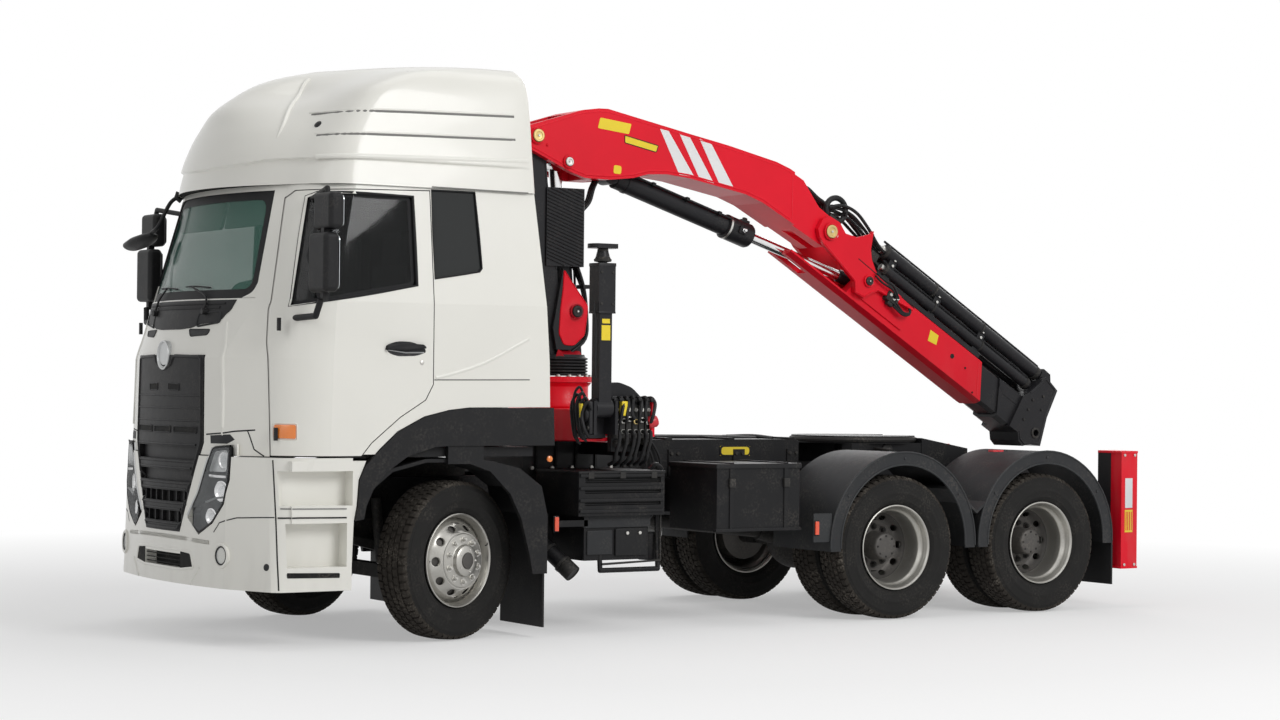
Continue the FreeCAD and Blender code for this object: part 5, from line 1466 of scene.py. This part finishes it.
def column_details():
    """Edge ribs and red cheek covers of the column, its guard, foot seal and hoses."""
    for name, side in flanks:
        skin = Skin(name, "crane_column")
        covers = Piece("column_cheek_" + name, "column", "crane_red")
        leaf = [(-1436, 2462), (-1480, 2400), (-1560, 2300), (-1632, 2212), (-1622, 2110), (-1606, 2004),
                (-1520, 1930), (-1440, 1935), (-1400, 2010), (-1410, 2180), (-1430, 2330)]
        leaf = rounded(leaf, 16, 2)
        skin.sheet(covers, leaf, 5.0, crane_paint, 60, 2.0)
        skin.strip(covers, leaf, 9, 8, crane_paint, 40, True, True)
        # The pin's ring and the low cover are in the darker red of painted shade.
        pin_end(covers, lift_foot, side, 190, 40, cast_iron, shaded_red_paint)
        low = [(-1392, 1900), (-1588, 1892), (-1602, 1850), (-1380, 1850)]
        skin.sheet(covers, low, 4.0, shaded_red_paint, 60)
        covers.build()
        ribs = Piece("column_sheath_" + name, "column", "crane_black")
        for rib in ([(-1392, 2462), (-1306, 3076), (-1284, 3330)],
                    [(-1222, 2470), (-1094, 3080), (-1090, 3380)]):
            skin.strip(ribs, rib, 16, 6, crane_black_paint, 60, True)
        pin_end(ribs, boom_pin, side, 130, 58, crane_black_paint, crane_black_paint)
        ribs.build()
    guard = Piece("lift_guard", "column", "crane_black")
    wall = [(-1300, 146), (-1606, 146), (-1614, 138), (-1614, -138), (-1606, -146), (-1300, -146),
            (-1300, -140), (-1600, -140), (-1607, -134), (-1607, 134), (-1600, 140), (-1300, 140)]
    guard.plate(wall, 2487, 3040, crane_black_paint)
    for side in (1, -1):
        for k in range(24):
            z = 2440 + k * 25
            start, end = (z + (x + 1600) * 0.35 for x in (-1600, -1306))
            low = max(0.0, (2494 - start) / (end - start))
            high = min(1.0, (3034 - start) / (end - start))
            if low < high:
                line = [(-1600 + 294 * t, 147 * side, z + 103 * t) for t in (low, high)]
                guard.tube(line, 6, black_plastic, 6)
    guard.build()
    seal = Piece("slewing_seal", "column", "crane_black")
    place = Matrix.Translation(Vector((slewing_x, 0, 0)))
    rows = [(192, 1716)]
    for k in range(6):
        rows += [(212, 1722 + k * 22), (212, 1732 + k * 22), (196, 1738 + k * 22)]
    seal.turned(rows + [(190, 1858)], black_plastic, place, 56)
    seal.build()
    hoses = Piece("column_hoses", "column", "crane_black")
    for k in range(4):
        y = 96 - k * 24
        line = [(-1500 - k * 8, y + 40, 1870), (-1640, y + 30, 1980), (-1668 - k * 10, y, 2150),
                (-1640 - k * 8, y, 2350), (-1560, y, 2560), (-1500, y, 2760), (-1462, y, 2930)]
        hoses.hose(line, 5, 12, hose_rubber, 10)
    for z, x in ((2350, -1650), (2760, -1506)):
        hoses.block((x - 40, 8, z - 14), (x + 22, 112, z + 14), black_plastic, soft=5)
    hoses.build()
    root = Piece("boom_root_hoses", "main_boom", "crane_black")
    for k in range(3):
        y = 60 - 26 * k
        line = [(-1462, y, 2966), (-1500 - 10 * k, y, 2890 - 8 * k), (-1600, y, 2868 - 10 * k),
                (-1700, y, 2950), (-1740, y, 3060), (-1790, y, 3150)]
        root.hose(line, 6, 12, hose_rubber, 10)
    root.build()


def base_details():
    """Bolted slewing flange, tapered covers and pads of the crane's base."""
    piece = Piece("crane_base_fittings", "truck", "crane_red")
    for x, y in circle(232, 18):
        piece.nut((slewing_x + x, y, 1710), (0, 0, 1), 24, 14, zinc, washer=zinc)
    place = Matrix.Translation(Vector((slewing_x, 0, 0)))
    piece.turned([(216, 1480), (232, 1500), (232, 1540), (218, 1560), (218, 1640), (240, 1668)], crane_paint,
                 place, 56)
    for side in (1, -1):
        for x in beam_x.values():
            rim = oblong((x - 110, 1278), (x + 110, 1492), 12)
            inner = scaled(rim, x, 1385, 0.86)
            rings = [level(rim, side, -26), level(rim, side, 4), level(inner, side, 4),
                     level(inner, side, -26)]
            piece.loft(rings, crane_paint, outward(0, 1085, 0, side), ends=False)
            for z in (1310, 1460):
                for dx in (102, -102):
                    piece.side_nut(x + dx, 1088, z, side, 13, 7, zinc)
        for x in (-1700, -1540, -1380, -1220, -1060):
            piece.block((x - 8, rail_y * side, 1040), (x + 8, (rail_y + 18) * side, 1262), frame_paint)
            piece.side_nut(x + 30, rail_y, 1080, side, 26, 14, zinc)
    piece.build()


def leg_details():
    """Plates, collars and hoses of the swung-up legs and their beams' ends, and the feet's necks."""
    for name, side in flanks:
        x = beam_x[name]
        piece = Piece("leg_plates_" + name, "leg_" + name, "crane_black")
        y = 1253 * side
        for z0, z1, wide in ((1950, 2050, 34), (2062, 2092, 30)):
            piece.block((x - wide, y - 4 * side, z0), (x + wide, y + 1.6 * side, z1), plate_yellow)
        for z0, z1, half in ((2128, 2142, 66), (2440, 2462, 67)):
            piece.block((x - half, leg_y * side - half + 2, z0), (x + half, leg_y * side + half - 2, z1),
                        crane_black_paint, soft=3)
        for z in (2190, 2400):
            for dx in (-44, 44):
                piece.side_nut(x + dx, 1267, z, side, 18, 5, cast_iron)
        piece.turned([(66, -2), (66, 6), (56, 10), (30, 10)], crane_black_paint,
                     facing((x + 62, leg_y * side, 1500), (1, 0, 0)), 36)
        line = [(x + 62, 1236 * side, 1700), (x + 70, 1238 * side, 1760), (x + 70, 1238 * side, 2050),
                (x + 82, 1238 * side, 2126), (x + 82, 1238 * side, 2200)]
        piece.hose(line, 4, 9, hose_rubber, 10)
        piece.build()
        end = Piece("beam_end_hoses_" + name, "beam_" + name, "crane_black")
        end.block((x + 94, 1104 * side, 1332), (x + 124, 1262 * side, 1546), crane_black_paint, soft=10)
        end.turned([(58, 0), (58, 14), (50, 22), (30, 26), (0, 26)], crane_black_paint,
                   facing((x + 124, 1196 * side, 1460), (1, 0, 0)), 32)
        for k, (y, bottom, top) in enumerate(((1112, 1280, 1590), (1140, 1262, 1640), (1176, 1296, 1600),
                                              (1214, 1280, 1570), (1246, 1310, 1540))):
            y *= side
            loop = [(x + 120, y, bottom), (x + 156, y + 6, bottom + 50), (x + 166, y - 14, top - 80),
                    (x + 140, y + 12, top), (x + 112, y + 22, top - 50)]
            end.hose(loop, 5, 11 - k % 2 * 2, hose_rubber, 8)
            end.nut((x + 124, y, bottom + 60), (1, 0, 0), 26, 12, zinc if k % 2 else cast_iron)
        end.block((x + 160, 1200 * side, 1440), (x + 172, 1236 * side, 1530), plate_yellow, soft=3)
        end.build()
        foot = Piece("foot_pad_" + name, "foot_" + name, "crane_black")
        centre = Matrix.Translation(Vector((x, leg_y * side, 0)))
        foot.turned([(34, 2468), (58, 2474), (60, 2486), (52, 2494), (40, 2520), (36, 2556)], cast_iron,
                    centre, 36)
        foot.build()


def valve_bank():
    """Spool sections side by side under a hood, with caps, levers, ports and their hoses."""
    piece = Piece("valve_bank", "truck", "crane_black", ["control_valves"])
    piece.block((-1520, 430, 1175), (-1420, 1150, 1262), crane_black_paint, soft=6)
    piece.block((-1518, 1096, 1210), (-1222, 1150, 1580), crane_black_paint, soft=8)
    hood = rounded([(-1500, 1480), (-1490, 1560), (-1400, 1640), (-1290, 1676), (-1190, 1660), (-1160, 1590),
                    (-1160, 1500), (-1240, 1480)], 30, 3)
    piece.loft([[(x, y, z) for x, z in hood] for y in (1030, 1120)], crane_black_paint)
    for k, wobble in enumerate((0, 17, 6, 23, 11, 3)):
        x = -1492 + 50 * k
        piece.block((x - 21, 1120, 1300), (x + 21, 1178, 1520), cast_iron, soft=6)
        piece.block((x - 17, 1150, 1516), (x + 17, 1176, 1566), crane_black_paint, soft=5)
        for z, across, finish in ((1345, 30, zinc), (1405 + wobble, 34, brass if k == 2 else zinc),
                                  (1490, 26, zinc)):
            piece.nut((x, 1178, z), (0, 1, 0), across, 13, finish)
        piece.rod((x, 1178, 1545), (x - 6, 1216, 1552 + wobble), 6, cast_iron, 10)
        piece.turned([(0, 0), (11, 2), (13, 10), (11, 20), (0, 24)], black_plastic,
                     facing((x - 6, 1208, 1552 + wobble), (0, 1, 0.1)), 14)
        line = [(x, 1186, 1345), (x + 4, 1222 + wobble, 1338), (x + 12 - wobble, 1232, 1280 + wobble),
                (x + 16 - wobble, 1206, 1215), (x - 6, 1150, 1150), (x - 20, 1060, 1120)]
        piece.hose(line, 5, 13, hose_rubber, 8)
        line = [(x, 1188, 1405 + wobble), (x - 2, 1216 + wobble, 1410 + wobble),
                (x - 16 + wobble, 1226, 1470), (x - 34 + wobble, 1210, 1540 + wobble), (x - 30, 1140, 1570),
                (x - 40, 960, 1500)]
        piece.hose(line, 5, 12, hose_rubber, 8)
    piece.block((-1300, 1190, 1452), (-1256, 1228, 1548), plate_yellow, soft=5)
    piece.block((-1548, 1120, 1310), (-1519, 1180, 1560), crane_paint, soft=6)
    piece.turned([(36, 0), (42, 8), (42, 60), (34, 72), (0, 76)], red_plastic,
                 facing((-1488, 1176, 1400), (-1, 0.2, 0.3)), 28)
    for x, z in ((-1470, 1280), (-1390, 1262), (-1320, 1286), (-1250, 1266)):
        piece.turned([(20, 0), (24, 4), (24, 42), (16, 50), (0, 50)], cast_iron,
                     facing((x, 1150, z), (0, 1, -0.2)), 18)
    piece.build()


boom_marks()
knuckle_details()
lock_valve_cluster()
ram_details()
fold_cylinder_details()
lift_cylinder_details()
column_details()
base_details()
leg_details()
valve_bank()

# ---- chassis and rear --------------------------------------------------------------
def frame_details():
    """Rivets, brackets and pipes along the frame rails, blank plates, and the deck with its hoses."""
    piece = Piece("frame_fittings", "truck", "frame_black")
    for side in (1, -1):
        def wall(x0, x1, z0, z1, out, finish=frame_paint):
            piece.block((x0, rail_y * side, z0), (x1, (rail_y + out) * side, z1), finish)

        for x in range(-5720, -1700, 160):
            for z in (815, 975):
                piece.side_nut(x, rail_y, z, side, 20, 8, frame_paint)
        for x in (-1800, -2200, -2760, -3240):
            wall(x - 50, x + 50, 940, 1200, 12)
            for z in (965, 1010, 1090, 1170):
                for dx in (-28, 28):
                    piece.side_nut(x + dx, rail_y + 12, z, side, 24, 12, cast_iron)
        wall(-2860, -2600, 1152, 1222, 2.0, plate_yellow)
        place = outward(0, rail_y + 2, 0, side)
        plate = oblong((-2866, 1150), (-2594, 1226), 30)
        piece.loft([level(plate, side, d) for d in (-2, 4)], black_plastic, place)
        oval = oblong((-2852, 1160), (-2608, 1216), 28)
        piece.loft([level(oval, side, d) for d in (2, 5.5)], plate_yellow, place)
        for z in (905, 882):
            piece.tube([(x, (rail_y + 16) * side, z) for x in (-5700, -4400, -3000, -1790)], 9, hose_rubber,
                       8)
    for x in (-1900, -2120, -3160):
        piece.hose([(x, -300, 1275), (x - 30, 0, 1285), (x, 300, 1275)], 5, 14, hose_rubber, 8)
    for k, y in enumerate((-120, -60, 0, 60)):
        line = [(-1760, y, 1292), (-2000, y + 30, 1282), (-2400, y - 20, 1280),
                (-2900, y + 20, 1276), (-3290, y, 1270)]
        piece.hose(line, 5, 15 - 2 * (k % 2), hose_rubber, 8)
    piece.block((-3290, -420, 1262), (-1770, 420, 1270), frame_paint)
    for x in (-3240, -2700, -2160, -1820):
        piece.block((x - 30, -425, 1268), (x + 30, 425, 1284), frame_paint)
    piece.build()
    lines = Piece("trailer_lines", "truck", "black_plastic")
    for k, finish in enumerate((red_plastic, hose_rubber, plate_yellow)):
        x = -1830 - 60 * k
        line = [(x, 340, 1290), (x - 10, 390, 1300), (x - 60, 448, 1240),
                (x - 110, 470, 1120), (x - 90, 462, 1010), (x - 20, 450, 950)]
        lines.hose(line, 6, 9, hose_rubber, 8)
        lines.rod((x, 330, 1288), (x, 372, 1296), 16, finish, 14)
    lines.build()


coupling_x = -4130


def coupling_details():
    """Grease rim, lock lever and bolts of the fifth wheel."""
    piece = Piece("fifth_wheel_fittings", "truck", "frame_black")
    rim = [(470 * math.cos(math.radians(a)) + coupling_x, 470 * math.sin(math.radians(a)), 1262)
           for a in range(-150, 151, 10)]
    piece.tube(rim, 20, cast_iron, 8)
    for side in (1, -1):
        for x in (-4400, -4270, -3990, -3860):
            piece.side_nut(x, 420, 1120, side, 30, 14, zinc)
        for x in (coupling_x - 350, coupling_x, coupling_x + 350):
            piece.nut((x, 395 * side, 1085), (0, 0, 1), 34, 18, zinc)
        piece.turned([(46, 0), (46, 10), (36, 14), (0, 14)], cast_iron, outward(coupling_x, 420, 1190, side),
                     32)
    lever = [(-4060, 180, 1205), (-4020, 330, 1200), (-4010, 520, 1196), (-4040, 560, 1196),
             (-4070, 530, 1196)]
    piece.hose(lever, 5, 11, cast_iron, 10)
    piece.build()


tank_middle = (-835, 780)


def across_at(points, x):
    """Points of (y, z) in a plane across the truck."""
    return [(x, y, z) for y, z in points]


def box_details():
    """Lids, straps and catches of the boxes and the fuel tank."""
    piece = Piece("air_box_fittings", "truck", "black_plastic")
    for z in (812, 885, 965, 1050):
        piece.block((-1664, 1118, z - 9), (-996, 1132, z + 9), black_plastic, soft=4)
    for z in (856, 869, 936, 949, 1006, 1019):
        piece.block((-1640, 1096, z), (-1040, 1112, z + 5), black_plastic)
    piece.block((-1676, 556, 1064), (-984, 1128, 1080), black_plastic, soft=6)
    for x in (-1580, -1330, -1080):
        piece.block((x - 22, 1120, 1030), (x + 22, 1134, 1072), cast_iron, soft=3)
    piece.block((-1592, 1056, 700), (-1058, 1072, 786), grey_plastic, soft=6)
    piece.block((-1560, 1056, 510), (-1310, 1078, 690), black_plastic, soft=8)
    piece.block((-1290, 1056, 520), (-1090, 1070, 680), grey_plastic, soft=8)
    for x in (-1500, -1400):
        piece.nut((x, 1078, 660), (0, 1, 0), 22, 10, zinc)
    can = facing((-1640, 960, 650), (0, 0, -1))
    piece.turned([(0, -10), (62, -6), (70, 4), (70, 170), (62, 182), (0, 186)], black_plastic, can, 36)
    for x, y in ((-1630, 1000), (-1690, 900)):
        line = [(x, y, 1082), (x - 40, y + 20, 1120), (x - 110, y - 10, 1060),
                (x - 120, y - 60, 900), (x - 90, y - 120, 760), (x - 30, y - 160, 700)]
        piece.hose(line, 6, 12, hose_rubber, 8)
    piece.tube([(-1665, 1080, 800), (-1665, 1080, 470), (-1200, 1080, 455)], 8, cast_iron, 8)
    piece.build()
    battery = Piece("battery_box_fittings", "truck", "black_plastic")
    battery.block((-2772, 592, 1090), (-2048, 1192, 1122), black_plastic, soft=8)
    for x in (-2640, -2180):
        battery.block((x - 16, 1178, 664), (x + 16, 1188, 1124), black_plastic)
        battery.block((x - 16, 600, 1118), (x + 16, 1188, 1130), black_plastic)
        battery.block((x - 24, 1182, 960), (x + 24, 1202, 1020), cast_iron, soft=4)
    battery.block((-2772, 1150, 656), (-2048, 1192, 676), black_plastic, soft=5)
    battery.build()
    tank = Piece("fuel_tank_fittings", "truck", "rim")
    strap = oblong((-1114, 476), (-556, 1084), 92, 6)
    raised = scaled(strap, *tank_middle, 1.012)
    for x in (-2560, -1910, -1260):
        low, low_far = across_at(strap, x - 24), across_at(strap, x + 24)
        tank.loft([low, low_far], black_plastic, ends=False)
        tank.loft([low, across_at(raised, x - 24), across_at(raised, x + 24), low_far], black_plastic,
                  ends=False)
    tank.turned([(62, 0), (62, 18), (56, 24), (52, 22), (52, 40), (46, 48), (0, 50)], zinc,
                facing((-1500, -1000, 1066), (0, -0.35, 1)), 40)
    end = oblong((-1100, 490), (-570, 1070), 84, 6)
    for x in (-2764, -1056):
        tank.loft([across_at(end, x - 3), across_at(end, x + 3)], tank_metal)
    tank.build()
    shell = Piece("fuel_tank_skin", "truck", "rim")
    skin = scaled(oblong((-1110, 480), (-560, 1080), 92, 8), *tank_middle, 1.004)
    shell.loft([across_at(skin, x) for x in (-2761, -2300, -1900, -1500, -1059)], tank_metal)
    shell.build()


# The two arches of a fender: their middles, outer face, lowest point and radii.
fender_x, fender_y, fender_z, fender_low = (-3640.0, -4985.0), 1250, 540, 505
outer_rim, inner_rim, bolt_circle = 655.0, 566.0, 610


def fender_details():
    """Rolled rims, bolts and stays of the rear fenders, and the markers and lamps on the sides."""
    piece = Piece("rear_fender_rims", "truck", "black_plastic")
    for side in (1, -1):
        for x, other_x in (fender_x, fender_x[::-1]):
            other = Vector((other_x, fender_y * side, fender_z))
            for radius in (outer_rim, inner_rim):
                arc = []
                for k in range(33):
                    a = math.radians(-2 + 184 * k / 32)
                    spot = Vector((x + radius * math.cos(a), fender_y * side,
                                   fender_z + radius * math.sin(a)))
                    clear = radius == inner_rim or (spot - other).length > outer_rim
                    if spot.z > fender_low and abs(spot.x - sum(fender_x) / 2) > 8 and clear:
                        arc.append(spot)
                piece.tube(arc, 7, fender_plastic, 8)
            for a in (35, 90, 145):
                c, s = math.cos(math.radians(a)), math.sin(math.radians(a))
                piece.side_nut(x + bolt_circle * c, fender_y, fender_z + bolt_circle * s, side, 18, 7,
                               fender_plastic)
        for x in fender_x:
            stay = [(x, rail_y * side, 1000), (x, 700 * side, 1120), (x, 900 * side, 1176)]
            piece.tube(stay, 18, frame_paint, 10)
    piece.build()
    marks = Piece("side_markers", "truck", "lamp_lens")
    for side in (1, -1):
        for x, y, z in ((-2863, 1244, 670), (-826, 1104, 733)):
            marks.block((x - 16, y * side, z - 46), (x + 16, (y + 14) * side, z + 46), marker_lens, soft=5)
            marks.block((x - 21, (y - 4) * side, z - 53),
                        (x + 21, (y + 3) * side, z + 53), black_plastic, soft=4)
        for x0, x1, z1 in ((-1075, -812, 754), (-1075, -1045, 800)):
            marks.block((x0, 1094 * side, 712), (x1, 1102 * side, z1), frame_paint)
        marks.block((-3000, 1234 * side, 570), (-2840, 1242 * side, 770), fender_plastic, soft=3)
        marks.turned([(20, -4), (20, 5), (16, 8), (0, 9)], amber, outward(-690, 1240, 1168, side), 24)
        marks.block((-4640, 1100 * side, 1190), (-4540, 1160 * side, 1204), red_plastic, soft=4)
    marks.build()


corner_y = 1245  # the outer face of the rear corners


def rear_details():
    """Lamps, blank plates and edges of the rear corners, the rear beam and its flaps."""
    piece = Piece("rear_fittings", "truck", "crane_red")
    lamps_piece = Piece("rear_lamps", "truck", "lamp_lens")
    for side in (1, -1):
        def wall(x0, x1, z0, z1, out, finish):
            piece.block((x0, corner_y * side, z0), (x1, (corner_y + out) * side, z1), finish)

        wall(-5850, -5776, 760, 985, 2.0, plate_white)
        wall(-5852, -5774, 575, 745, 2.0, plate_yellow)
        for k in range(4):
            wall(-5844 + 18 * k, -5836 + 18 * k, 590, 730, 3.0, crane_paint)
        for z in (330, 1160):
            for x in (-5870, -5768):
                piece.side_nut(x, corner_y, z, side, 20, 9, zinc)
        for z0, z1 in ((300, 316), (1174, 1192)):
            piece.block((-5904, 985 * side, z0), (-5734, 1249 * side, z1), crane_paint, soft=4)
        for z0, z1, finish in ((980, 1120, red_lens), (820, 960, amber), (700, 800, clear_lens),
                               (560, 680, red_lens)):
            outline = oblong((1030, z0), (1200, z1), 16)
            crown = scaled(outline, 1115, (z0 + z1) / 2, 0.9)
            rings = [level(outline, side, -14), level(outline, side, 12), level(crown, side, 20)]
            lamps_piece.loft(rings, finish, facing((-5902, 0, 0), (-1, 0, 0)))
        piece.block((-5663, 800 * side, 560), (-5641, 1235 * side, 606), crane_black_paint, soft=3)
        for y in (860, 960, 1080, 1180):
            piece.nut((-5641, y * side, 583), (1, 0, 0), 20, 8, zinc)
    piece.block((-5906, -500, 660), (-5898, 500, 748), plate_white)
    for y in range(-880, 881, 220):
        piece.nut((-5900, y, 720), (-1, 0, 0), 24, 8, zinc)
    piece.tube([(-5880, y, 628) for y in (-990, 0, 990)], 14, frame_paint, 10)
    piece.build()
    lamps_piece.build()


def front_underside():
    """Springs' clamps, shock absorbers, and the exhaust's end and clamps."""
    piece = Piece("front_suspension_fittings", "truck", "axle_iron")
    for side in (1, -1):
        y = 385 * side
        for x in (-60, 60):
            piece.hose([(x, y - 46, 430), (x, y - 46, 600), (x, y, 622),
                             (x, y + 46, 600), (x, y + 46, 430)], 4, 11, cast_iron, 8)
        piece.rod((140, 470 * side, 470), (190, 480 * side, 900), 34, cast_iron, 20)
        piece.rod((132, 468 * side, 400), (150, 472 * side, 560), 22, zinc, 16)
    piece.build()
    pipe = Piece("exhaust_tail", "truck", "axle_iron")
    start, end = Vector((-900, 760, 600)), Vector((-1040, 970, 390))
    along = (end - start).normalized()
    place = facing(end - along * 60, along)
    pipe.turned([(56, -30), (60, -24), (60, 62), (57, 66), (52, 64), (50, 20), (0, 18)], cast_iron, place, 36)
    for t in (0.3, 0.7):
        spot = start + (end - start) * t
        pipe.turned([(56, -10), (63, -8), (63, 8), (56, 10)], cast_iron, facing(spot, along), 36)
    pipe.build()


frame_details()
coupling_details()
box_details()
fender_details()
rear_details()
front_underside()

# ---- camera and light --------------------------------------------------------------
sensor_width = 36.0
lens_length = 73.0
camera_place = at(8014.8, 15804.6, 1665.7)
yaw, pitch, roll = 0.5731, 0.0091, 0.0103
studio_strength = 0.36
floor_reach = 60.0
# Lamps: place, size and power.
lamp_rows = {"key_lamp": ((-2.0, 14.0, 9.0), 7.0, 1050), "front_lamp": ((13.0, 5.0, 7.0), 6.0, 130),
             "top_lamp": ((0.0, 0.0, 13.0), 10.0, 260), "back_lamp": ((-10.0, -9.0, 7.0), 7.0, 300)}


def make_camera():
    """A camera that looks along the yaw and pitch, turned by the roll."""
    forward = Vector((-math.sin(yaw) * math.cos(pitch), -math.cos(yaw) * math.cos(pitch), math.sin(pitch)))
    across = forward.cross(Vector((0, 0, 1))).normalized()
    upward = across.cross(forward)
    right = math.cos(roll) * across + math.sin(roll) * upward
    up = -math.sin(roll) * across + math.cos(roll) * upward
    data = bpy.data.cameras.new("camera")
    data.sensor_width = sensor_width
    data.lens = lens_length
    camera = bpy.data.objects.new("camera", data)
    bpy.context.collection.objects.link(camera)
    rows = [(right[i], up[i], -forward[i], camera_place[i]) for i in range(3)]
    camera.matrix_world = Matrix(rows + [(0, 0, 0, 1)])
    bpy.context.scene.camera = camera


make_camera()


def area_lamp(name, place, target, size, power):
    """A round lamp that shines from its place towards a target."""
    data = bpy.data.lights.new(name, "AREA")
    data.shape = "DISK"
    data.size = size
    data.energy = power
    lamp = bpy.data.objects.new(name, data)
    bpy.context.collection.objects.link(lamp)
    lamp.location = place
    lamp.rotation_euler = (Vector(target) - Vector(place)).to_track_quat("-Z", "Y").to_euler()


def make_light():
    """Four lamps in a white studio that also shows white."""
    for name, (place, size, power) in lamp_rows.items():
        area_lamp(name, place, (0.0, 0.0, 1.2), size, power)
    world = bpy.data.worlds.new("studio")
    bpy.context.scene.world = world
    world.use_nodes = True
    tree = world.node_tree
    lighting = tree.nodes["Background"]
    lighting.inputs["Strength"].default_value = studio_strength
    seen = tree.nodes.new("ShaderNodeBackground")
    for background in (lighting, seen):
        background.inputs["Color"].default_value = (1.0, 1.0, 1.0, 1.0)
    mix_shaders(tree, seen_white(tree), lighting, seen, tree.nodes["World Output"])


def mix_shaders(tree, factor, first, second, output):
    """The first shader where factor is 0 and the second where it is 1."""
    mixer = tree.nodes.new("ShaderNodeMixShader")
    for source, target in zip((factor, first.outputs[0], second.outputs[0]), mixer.inputs):
        tree.links.new(source, target)
    tree.links.new(mixer.outputs[0], output.inputs["Surface"])


def seen_white(tree):
    """1 for the rays that see the studio itself: straight, by reflection or through glass."""
    path = tree.nodes.new("ShaderNodeLightPath")
    total = path.outputs["Is Camera Ray"]
    for name in ("Is Glossy Ray", "Is Transmission Ray"):
        adder = tree.nodes.new("ShaderNodeMath")
        adder.operation = "MAXIMUM"
        tree.links.new(total, adder.inputs[0])
        tree.links.new(path.outputs[name], adder.inputs[1])
        total = adder.outputs[0]
    return total


make_light()
bpy.context.scene.view_settings.view_transform = "Standard"


def make_floor():
    """A pale floor that shows white, and keeps a share of the light for the truck's shadow."""
    finish = Finish("studio_floor", (0.88, 0.88, 0.88), 0.95)
    tree = finish.tree
    far = finish.vector("LENGTH", finish.place()).out("Value").between(4.5, 11.0)
    weight = tree.nodes.new("ShaderNodeMath")
    weight.operation = "MULTIPLY"
    tree.links.new(seen_white(tree), weight.inputs[0])
    tree.links.new((0.38 + far * 0.62).socket, weight.inputs[1])
    white = tree.nodes.new("ShaderNodeEmission")
    mix_shaders(tree, weight.outputs[0], finish.shader, white, tree.nodes["Material Output"])
    mesh = bpy.data.meshes.new("floor")
    corners = [(x * floor_reach, y * floor_reach, 0) for x, y in ((-1, -1), (1, -1), (1, 1), (-1, 1))]
    mesh.from_pydata(corners, [], [(0, 1, 2, 3)])
    floor = bpy.data.objects.new("floor", mesh)
    bpy.context.collection.objects.link(floor)
    mesh.materials.append(finish.material)


make_floor()
